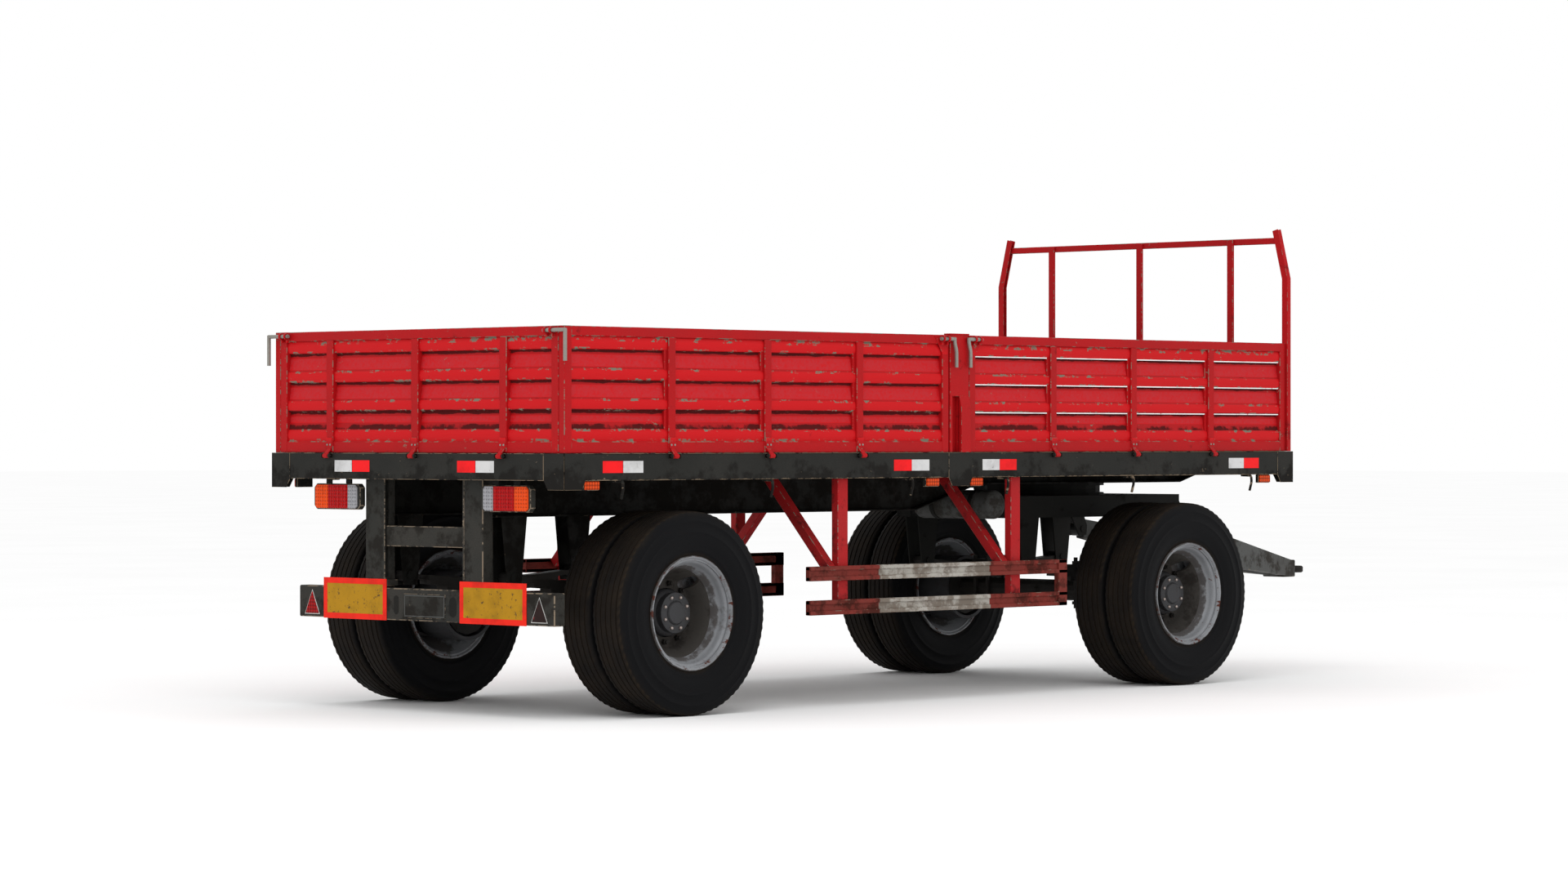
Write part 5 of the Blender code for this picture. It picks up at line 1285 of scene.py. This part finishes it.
for word, side in SIDES:
    x = at(LAMP_FACE)
    outline = cut_plate(LAMP_INNER, LAMP_OUTER, LAMP_LOW, LAMP_HIGH, LAMP_CUT, LAMP_CUT)
    outline = [(side * y, z) for y, z in outline]
    housing = [prism(outline, "X", x + 0.008, x + 0.048, 0.004)]
    piece(f"lamp_housing_{word}", housing, BUMPER_GREY, ROOT,
          (f"tail_lamp_{word}",))
    hangers = []
    for shift in (-0.090, 0.080):
        y = side * (0.700 + shift)
        hangers.append(box(x + 0.018, x + 0.024, y - 0.025, y + 0.025, LAMP_HIGH - 0.010,
                           RAIL_BOTTOM - FIT, 0.001))
    piece(f"lamp_hangers_{word}", hangers, DEEP_BLACK, ROOT)
    for colour, outer, inner, material, columns in LENSES:
        starts = LENS_CUT if colour == "clear" else 0.0
        ends = LENS_CUT if colour == "orange" else 0.0
        piece(f"lamp_{colour}_{word}",
              lens_parts(x, side, inner, outer, columns, starts, ends), material, ROOT)

# %% [markdown]
# ## Side guards and air tank
#
# The guard's rails are folded channels with a groove along the middle, painted brick red with
# a white stretch. Posts and slanting braces carry them.

# %% Side guards
GUARD_RAILS = ((0.523, 0.606), (0.716, 0.798))
GUARD_START, GUARD_END = 1.905, 4.133
GUARD_DEPTH = 0.040
GUARD_UPRIGHT = 0.076
WHITE_START, WHITE_END = 2.480, 3.440
GUARD_POSTS = ((2.205, 2.130), (3.700, 3.620))  # each post and the cross member behind it
POST_OUT, POST_IN = 1.166, 1.116
BRACE_TOP = 0.640


def guard_rail(start, end, side, low, high):
    """One folded rail: two lips and a recessed web."""
    y = side * HALF_WIDTH
    back = y - side * GUARD_DEPTH
    lip = (high - low) * 0.28
    return [box(at(start), at(end), y, back, low, low + lip, 0.003),
            box(at(start), at(end), y, back, high - lip, high, 0.003),
            box(at(start), at(end), y - side * 0.012, back, low + 0.002, high - 0.002, 0.0)]


for word, side in SIDES:
    reds, whites = [], []
    for low, high in GUARD_RAILS:
        reds += guard_rail(GUARD_START, WHITE_START, side, low, high)
        reds += guard_rail(WHITE_END, GUARD_END, side, low, high)
        whites += guard_rail(WHITE_START, WHITE_END, side, low, high)
    y = side * HALF_WIDTH
    reds.append(box(at(GUARD_END - GUARD_UPRIGHT), at(GUARD_END), y, y - side * GUARD_DEPTH,
                    GUARD_RAILS[0][0], GUARD_RAILS[1][1]))
    piece(f"guard_rail_{word}", reds, GUARD_RED, ROOT,
          (f"side_guard_{word}",), lambda spot: 0.35)
    piece(f"guard_band_{word}", whites, GUARD_WHITE, ROOT,
          grime_and_shade=lambda spot: 0.4)
    legs = []
    for place, cross in GUARD_POSTS:
        legs.append(box(at(place - 0.042), at(place + 0.042), side * POST_OUT, side * POST_IN,
                        GUARD_RAILS[0][0] + LAP, RAIL_BOTTOM - FIT))
        bottom = (at(cross), side * (HALF_WIDTH - 0.060), GUARD_RAILS[1][1] - 0.030)
        top = (at(cross), side * BRACE_TOP, beam_top - 0.020)
        legs.append(rod([bottom, top], 0.056, sides=4, up=(1, 0, 0), chamfer=0.003))
        legs.append(box(at(cross - 0.030), at(cross + 0.030), side * (BRACE_TOP - 0.040),
                        side * (BRACE_TOP + 0.045), beam_top - 0.040, beam_top))
    piece(f"guard_posts_{word}", legs, POST_RED, ROOT,
          grime_and_shade=lambda spot: 0.3)

# %% Air tank
TANK_X, TANK_Z, TANK_R = at(4.200), 1.118, 0.088
TANK_DOME = 0.045
BAND_WALL = 0.004
BAND_PLACES = (-0.430, -0.120)
tank_low, tank_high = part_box("air_tank")[0][1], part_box("air_tank")[1][1]
half = (tank_high - tank_low) / 2
profile = [(0.0, -half)]
for step in range(1, 9):
    angle = step * math.pi / 16
    profile.append((TANK_R * math.sin(angle), -half + TANK_DOME * (1 - math.cos(angle))))
profile += [(radius, -along) for radius, along in reversed(profile)]
centre = (TANK_X, (tank_low + tank_high) / 2, TANK_Z)
piece("tank", [turned(profile, "Y", centre, 40)], GREY, ROOT, ("air_tank",),
      lambda spot: 0.4)
under_beam = SHALLOW - FIT
inside, half = TANK_R + FIT, 0.015
ring = [(inside, -half), (inside + BAND_WALL, -half), (inside + BAND_WALL, half),
        (inside, half)]
bands = [box(TANK_X - 0.028, TANK_X + 0.028, *BAND_PLACES, 1.220, under_beam)]
for y in BAND_PLACES:
    bands.append(turned(ring, "Y", (TANK_X, y, TANK_Z), 40))
    bands.append(box(TANK_X - 0.030, TANK_X + 0.030, y - 0.016, y + 0.016, TANK_Z + 0.090,
                     under_beam))
piece("tank_bands", bands, DEEP_BLACK, ROOT, ("tank_cradle",))

# %% [markdown]
# ## Tyres
#
# A tyre is one profile spun round the axle: beads, bulged sidewalls with thin raised rings,
# and a tread cut by five grooves. Small notches along the shoulders would be slow to model
# one by one, so every other point on the shoulder is pulled in a little.

# %% Tyres
TYRE_R = AXLE_Z
TYRE_HALF = 0.1075
TYRE_STEPS = 144


def tyre_profile():
    """Half of the section from the bead to the middle of the tread, as (radius, along)."""
    wall = [(0.294, 0.090), (0.300, 0.0945), (0.322, 0.0945), (0.330, 0.0990),
            (0.342, 0.1035), (0.345, 0.1060), (0.350, 0.1055), (0.372, 0.1115),
            (0.400, 0.1170), (0.425, 0.1185), (0.440, 0.1180), (0.443, 0.1195),
            (0.449, 0.1195), (0.452, 0.1175), (0.478, 0.1165), (0.500, 0.1145),
            (0.503, 0.1160), (0.508, 0.1158), (0.511, 0.1135), (0.532, 0.1110),
            (0.546, 0.1085), (0.556, 0.1050)]
    tread = []
    for groove in (0.078, 0.039, 0.0):
        for edge in (groove + 0.0045, groove + 0.0030):
            crown = 0.0045 * (edge / TYRE_HALF) ** 2
            deep = 0.009 if edge < groove + 0.004 else 0.0
            tread.append((TYRE_R - 0.0005 - crown - deep, edge))
        if groove > 0:
            for edge in (groove - 0.0030, groove - 0.0045):
                crown = 0.0045 * (edge / TYRE_HALF) ** 2
                deep = 0.009 if edge > groove - 0.004 else 0.0
                tread.append((TYRE_R - 0.0005 - crown - deep, edge))
    return wall + [(TYRE_R - 0.0045, 0.1000)] + tread


def tyre_part(x, y):
    """A whole tyre at rest in the row frame."""
    half_profile = tyre_profile()
    profile = half_profile + [(r, -a) for r, a in reversed(half_profile)]
    mesh = turned(profile, "Y", (x, y, AXLE_Z), TYRE_STEPS)
    for vert in mesh.verts:
        out = Vector((vert.co.x - x, 0, vert.co.z - AXLE_Z))
        radius = out.length
        if 0.545 < radius < 0.5595 and abs(vert.co.y - y) > 0.095:
            turn = round((math.atan2(out.z, out.x) % math.tau) / math.tau * TYRE_STEPS)
            if turn % 2:
                vert.co -= out.normalized() * 0.0045
    return mesh


def tyre_grime(x, y):
    """Dust lies on the tread, on the shoulder and near the rim."""
    def level(spot):
        radius = math.hypot(spot.x - x, spot.z - AXLE_Z)
        if abs(spot.y - y) < 0.100 and radius > 0.5:
            return 0.55 if radius > TYRE_R - 0.007 else 1.0
        near_rim = max(0.0, 1.0 - (radius - 0.310) / 0.035)
        shoulder = max(0.0, (radius - 0.520) / 0.040)
        return min(1.0, 0.05 + 0.7 * near_rim + 0.4 * shoulder)
    return level


# %% [markdown]
# ## Rims and hubs
#
# A dual wheel is two dished rims bolted face to face. The outer rim is seen from its hollow
# side: a bright barrel, then a dark dish with nuts and a round hand hole, and the hub standing
# out of the middle with its bolts. The hand holes are cut with a Boolean, because a hole has
# to show what is behind it.

# %% Rim and hub profiles
DUAL_Y = 0.990
DUAL_SHIFT = 0.1225
LIP = DUAL_SHIFT + TYRE_HALF - 0.001
NUT_CIRCLE = 0.1625
HAND_HOLE_R = 0.038


def barrel_profile():
    """The bright barrel of the outer rim, as (radius, along) from the pair's middle."""
    outside = [(0.3160, LIP - 0.012), (0.3165, LIP - 0.004), (0.3135, LIP), (0.3075, LIP - 0.001),
               (0.3015, LIP - 0.006), (0.2975, LIP - 0.015), (0.2930, LIP - 0.022),
               (0.2830, LIP - 0.028), (0.2775, LIP - 0.036), (0.2740, LIP - 0.052),
               (0.2700, LIP - 0.066), (0.2600, LIP - 0.078), (0.2540, LIP - 0.092),
               (0.2480, LIP - 0.108), (0.2440, LIP - 0.118)]
    back = [(0.2540, LIP - 0.122), (0.2820, LIP - 0.100), (0.2885, LIP - 0.050),
            (0.2915, LIP - 0.0125), (0.3160, LIP - 0.0122)]
    return outside + back


def dish_profile():
    """The dark dish inside the barrel, down to the bolted disc."""
    front = [(0.2475, LIP - 0.112), (0.2380, LIP - 0.120), (0.2200, 0.076), (0.2020, 0.040),
             (0.1925, 0.020), (0.1860, 0.0150), (0.1360, 0.0150)]
    back = [(0.1360, 0.0030), (0.1900, 0.0030), (0.2100, 0.026), (0.2300, 0.066),
            (0.2475, LIP - 0.122)]
    return front + back


def inner_rim_profile():
    """The inner rim, mirrored: seen only from underneath and between the tyres."""
    outside = [(0.2915, -LIP + 0.0125), (0.3160, -LIP + 0.0125), (0.3160, -LIP + 0.002),
               (0.3060, -LIP), (0.2960, -LIP + 0.016), (0.2800, -LIP + 0.030),
               (0.2600, -LIP + 0.080), (0.2430, -DUAL_SHIFT + 0.003), (0.1900, -0.0150),
               (0.1360, -0.0150), (0.1360, -0.0002), (0.2050, -0.0002), (0.2760, -0.016),
               (0.3160, -0.016), (0.3160, -0.0285), (0.2915, -0.0285)]
    return outside


def outer_back_profile():
    """The inboard flange of the outer rim, between the two tyres."""
    return [(0.2760, 0.016), (0.3160, 0.016), (0.3160, 0.0285), (0.2915, 0.0285),
            (0.2890, LIP - 0.060), (0.2840, LIP - 0.060), (0.2700, 0.040)]


def along_side(profile, side):
    """The profile as distances along world Y on one side of the trailer."""
    return [(radius, side * (DUAL_Y + along)) for radius, along in profile]


def rim_grime(x):
    """Dirt darkens the barrel towards the dish and the tyre's bead."""
    def level(spot):
        radius = math.hypot(spot.x - x, spot.z - AXLE_Z)
        return 0.75 if radius < 0.262 or radius > 0.312 else 0.15
    return level


def rim_wear(x):
    """Rust eats the flange first."""
    def level(spot):
        return 0.7 if math.hypot(spot.x - x, spot.z - AXLE_Z) > 0.298 else 0.0
    return level


def cut_holes(thing, cutters):
    """Cut round holes through a piece and keep the result as its mesh."""
    helper = bpy.data.objects.new("cutter", bpy.data.meshes.new("cutter"))
    joined = bmesh.new()
    for part in cutters:
        part.to_mesh(helper.data)
        part.free()
        joined.from_mesh(helper.data)
    joined.to_mesh(helper.data)
    joined.free()
    bpy.context.scene.collection.objects.link(helper)
    cut = thing.modifiers.new("holes", "BOOLEAN")
    cut.operation = "DIFFERENCE"
    cut.solver = "EXACT"
    cut.object = helper
    graph = bpy.context.evaluated_depsgraph_get()
    result = bpy.data.meshes.new_from_object(thing.evaluated_get(graph))
    thing.modifiers.remove(cut)
    thing.data = result
    result.set_sharp_from_angle(angle=math.radians(35))
    bpy.data.objects.remove(helper, do_unlink=True)


def hub_parts(x, side):
    """The hub: drum, mounting face, barrel and end flange."""
    profile = [(0.183, 0.610), (0.203, 0.610), (0.205, 0.616), (0.205, 0.850), (0.196, 0.862),
               (0.172, 0.9735), (0.131, 0.9745), (0.131, 1.020), (0.122, 1.034), (0.110, 1.040),
               (0.108, 1.066), (0.112, 1.067), (0.112, 1.083), (0.109, 1.085), (0.068, 1.085),
               (0.066, 1.083), (0.064, 1.089), (0.058, 1.095), (0.0, 1.098), (0.0, 1.006),
               (0.054, 1.006), (0.054, 0.700), (0.183, 0.700)]
    profile = [(radius, side * along) for radius, along in profile]
    return [turned(profile, "Y", (x, 0, AXLE_Z), 64)]


def ring_places(count, radius, phase=0.0):
    """Points evenly spaced on a circle round the axle, as (dx, dz)."""
    return [(radius * math.cos(phase + k * math.tau / count),
             radius * math.sin(phase + k * math.tau / count)) for k in range(count)]


def bolt_parts(x, side):
    """Eight hub bolts with domed heads."""
    parts = []
    for dx, dz in ring_places(8, 0.090, math.pi / 8):
        head = [(0.0, 1.080), (0.0105, 1.080), (0.0105, 1.088), (0.0090, 1.093),
                (0.0055, 1.096), (0.0, 1.097)]
        head = [(radius, side * along) for radius, along in head]
        parts.append(turned(head, "Y", (x + dx, 0, AXLE_Z + dz), 14))
    return parts


def nut_parts(x, side):
    """Hexagon wheel nuts on their studs."""
    parts = []
    for dx, dz in ring_places(10, NUT_CIRCLE, 0.2):
        centre = (x + dx, side * (DUAL_Y + 0.026), AXLE_Z + dz)
        parts.append(cylinder("Y", centre, 0.0165, 0.011, 6))
        stud = (x + dx, side * (DUAL_Y + 0.034), AXLE_Z + dz)
        parts.append(cylinder("Y", stud, 0.0095, 0.014, 12))
    return parts


# %% Four dual wheels
HOLE_ANGLE = 0.90
for axle_word, axle in (("rear", REAR_AXLE), ("front", FRONT_AXLE)):
    for word, side in SIDES:
        label = f"{axle_word}_{word}"
        body = f"{label}_wheel"
        x = at(axle)
        for place, shift in (("outer", DUAL_SHIFT), ("inner", -DUAL_SHIFT)):
            y = side * (DUAL_Y + shift)
            piece(f"tyre_{place}_{label}", [tyre_part(x, y)], TYRE, body,
                  (f"{label}_tyre_{place}",), tyre_grime(x, y), angle=50)
        centre = (x, 0, AXLE_Z)
        barrel = [turned(along_side(barrel_profile(), side), "Y", centre, 72),
                  turned(along_side(inner_rim_profile(), side), "Y", centre, 48),
                  turned(along_side(outer_back_profile(), side), "Y", centre, 48)]
        piece(f"barrel_{label}", barrel, RIM, body, (f"{label}_rims",),
              rim_grime(x), rim_wear(x), angle=50)
        dish = piece(f"dish_{label}", [turned(along_side(dish_profile(), side), "Y", centre, 72)],
                     DISH, body, grime_and_shade=lambda spot: 0.35)
        cutters = []
        for dx, dz in ring_places(2, 0.206, HOLE_ANGLE):
            cutters.append(cylinder("Y", (x + dx, side * (DUAL_Y + 0.05), AXLE_Z + dz),
                                    HAND_HOLE_R, 0.08, 32))
        cut_holes(dish, cutters)
        piece(f"hub_{label}", hub_parts(x, side), HUB, body,
              (f"{label}_hub_drum",), lambda spot: 0.3)
        piece(f"hub_bolts_{label}", bolt_parts(x, side), BOLT, body)
        piece(f"wheel_nuts_{label}", nut_parts(x, side), IRON, body)

# %% [markdown]
# ## Drawbar
#
# The drawbar is an A-frame of two deep legs that narrow towards the coupling head. It hinges on
# the turning dolly and rests on its stops when it is not coupled.

# %% Drawbar and towing eye
PIVOT_X, PIVOT_Z = at(6.140), 0.930
HEAD_X = at(7.820)
LEG_Y = 0.420
LEG_HALF = 0.035
STOP_Z = 1.0295                 # the dolly's underside, where the heels rest


def leg_part(side):
    """One tapered leg of the drawbar."""
    stations = ((PIVOT_X + 0.030, LEG_Y, 0.868, 0.993), (PIVOT_X + 0.056, LEG_Y, 0.864, 0.990),
                (PIVOT_X + 0.800, 0.227, 0.672, 0.862), (HEAD_X - 0.020, 0.047, 0.590, 0.700))
    mesh = bmesh.new()
    rings = []
    for x, y, low, high in stations:
        corners = ((y - LEG_HALF, low), (y + LEG_HALF, low), (y + LEG_HALF, high),
                   (y - LEG_HALF, high))
        rings.append([mesh.verts.new((x, side * across, z)) for across, z in corners])
    for near, far in zip(rings, rings[1:]):
        for i in range(4):
            j = (i + 1) % 4
            mesh.faces.new((near[i], near[j], far[j], far[i]))
    mesh.faces.new(rings[0])
    mesh.faces.new(rings[-1])
    bmesh.ops.recalc_face_normals(mesh, faces=mesh.faces[:])
    return chamfered(mesh, 0.005)


parts = []
for _, side in SIDES:
    rear = side * LEG_Y
    parts.append(leg_part(side))
    boss = [(0.0215, -LEG_HALF), (0.046, -LEG_HALF), (0.046, LEG_HALF), (0.0215, LEG_HALF)]
    parts.append(turned(boss, "Y", (PIVOT_X, rear, PIVOT_Z), 32))
    heel = [(PIVOT_X - 0.050, PIVOT_Z + 0.036), (PIVOT_X - 0.012, PIVOT_Z + 0.030),
            (PIVOT_X - 0.056, STOP_Z), (PIVOT_X - 0.080, STOP_Z)]
    parts.append(prism(heel, "Y", rear - LEG_HALF, rear + LEG_HALF, 0.002))
parts.append(box(PIVOT_X + 0.525, PIVOT_X + 0.595, -0.302, 0.302, 0.760, 0.850, 0.004))
parts.append(box(HEAD_X - 0.130, HEAD_X, -0.090, 0.090, 0.588, 0.702, 0.006))
piece("drawbar_legs", parts, GREY, "drawbar", ("drawbar_frame",),
      lambda spot: 0.35)

EYE_X, EYE_Z_LOW, EYE_HALF = at(7.9115), 0.636, 0.0225
ring = [(0.025, -EYE_HALF + 0.006), (0.031, -EYE_HALF), (0.058, -EYE_HALF),
        (0.066, -EYE_HALF + 0.008), (0.066, EYE_HALF - 0.008), (0.058, EYE_HALF),
        (0.031, EYE_HALF), (0.025, EYE_HALF - 0.006)]
eye = [turned(ring, "Z", (EYE_X, 0, EYE_Z_LOW), 40),
       box(HEAD_X + FIT, HEAD_X + FIT + 0.015, -0.060, 0.060, 0.594, 0.678, 0.004),
       box(HEAD_X + 0.004, EYE_X - 0.040, -0.034, 0.034, 0.616, 0.656, 0.006)]
for y in (-0.045, 0.045):
    for z in (0.608, 0.664):
        eye.append(cylinder("X", (HEAD_X + 0.016, y, z), 0.009, 0.005, 6))
piece("eye", eye, IRON, "drawbar", ("tow_eye",))

# %% [markdown]
# ## Studio
#
# A pale floor that runs off into a white background, one broad soft light from above and a
# weaker one from the side keep the shadows soft, and a long lens keeps the boards' lines
# almost parallel.

# %% Floor, light and camera
floor_mesh = bmesh.new()
bmesh.ops.create_grid(floor_mesh, x_segments=1, y_segments=1, size=150.0)
floor_data = bpy.data.meshes.new("floor")
floor_mesh.to_mesh(floor_data)
floor_mesh.free()
floor = bpy.data.objects.new("floor", floor_data)
bpy.context.scene.collection.objects.link(floor)
floor_material, floor_tree, floor_surface = shader("studio_floor")
tone = blend(floor_tree, ramp(floor_tree, spots(floor_tree, 0.4, 2.0), 0.3, 0.7),
             (0.965, 0.965, 0.965), (0.985, 0.985, 0.985))
floor_tree.links.new(tone, floor_surface.inputs["Base Color"])
floor_surface.inputs["Roughness"].default_value = 0.85
floor_surface.inputs["Specular IOR Level"].default_value = 0.0
floor_data.materials.append(floor_material)
floor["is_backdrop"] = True

world = bpy.data.worlds.new("studio")
world.use_nodes = True
backdrop = world.node_tree.nodes["Background"]
backdrop.inputs["Color"].default_value = (1.0, 1.0, 1.0, 1.0)
backdrop.inputs["Strength"].default_value = 1.0
bpy.context.scene.world = world
bpy.context.scene.view_settings.view_transform = "Standard"

LIGHTS = (
    ("key", (-9.0, -7.0, 12.0), 9.0, 420.0),
    ("fill", (6.0, -13.0, 6.0), 8.0, 60.0),
)
for name, place, size, power in LIGHTS:
    light = bpy.data.lights.new(name, "AREA")
    light.shape = "DISK"
    light.size = size
    light.energy = power
    lamp = bpy.data.objects.new(name, light)
    lamp.location = place
    lamp.rotation_euler = (-Vector(place)).to_track_quat("-Z", "Y").to_euler()
    bpy.context.scene.collection.objects.link(lamp)

camera = bpy.data.cameras.new("camera")
camera.sensor_width = 36.0
camera.lens = 102.466
camera.clip_end = 400.0
camera.dof.use_dof = False
viewer = bpy.data.objects.new("camera", camera)
viewer.location = (at(-16.300), -18.536, 1.521)
viewer.rotation_euler = (math.radians(89.969), 0.0, math.radians(43.945 - 90.0))
bpy.context.scene.collection.objects.link(viewer)
bpy.context.scene.camera = viewer

# %% Print the sizes and finish
low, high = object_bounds()
print("visual", [round(float(v), 4) for v in (*low, *high)])
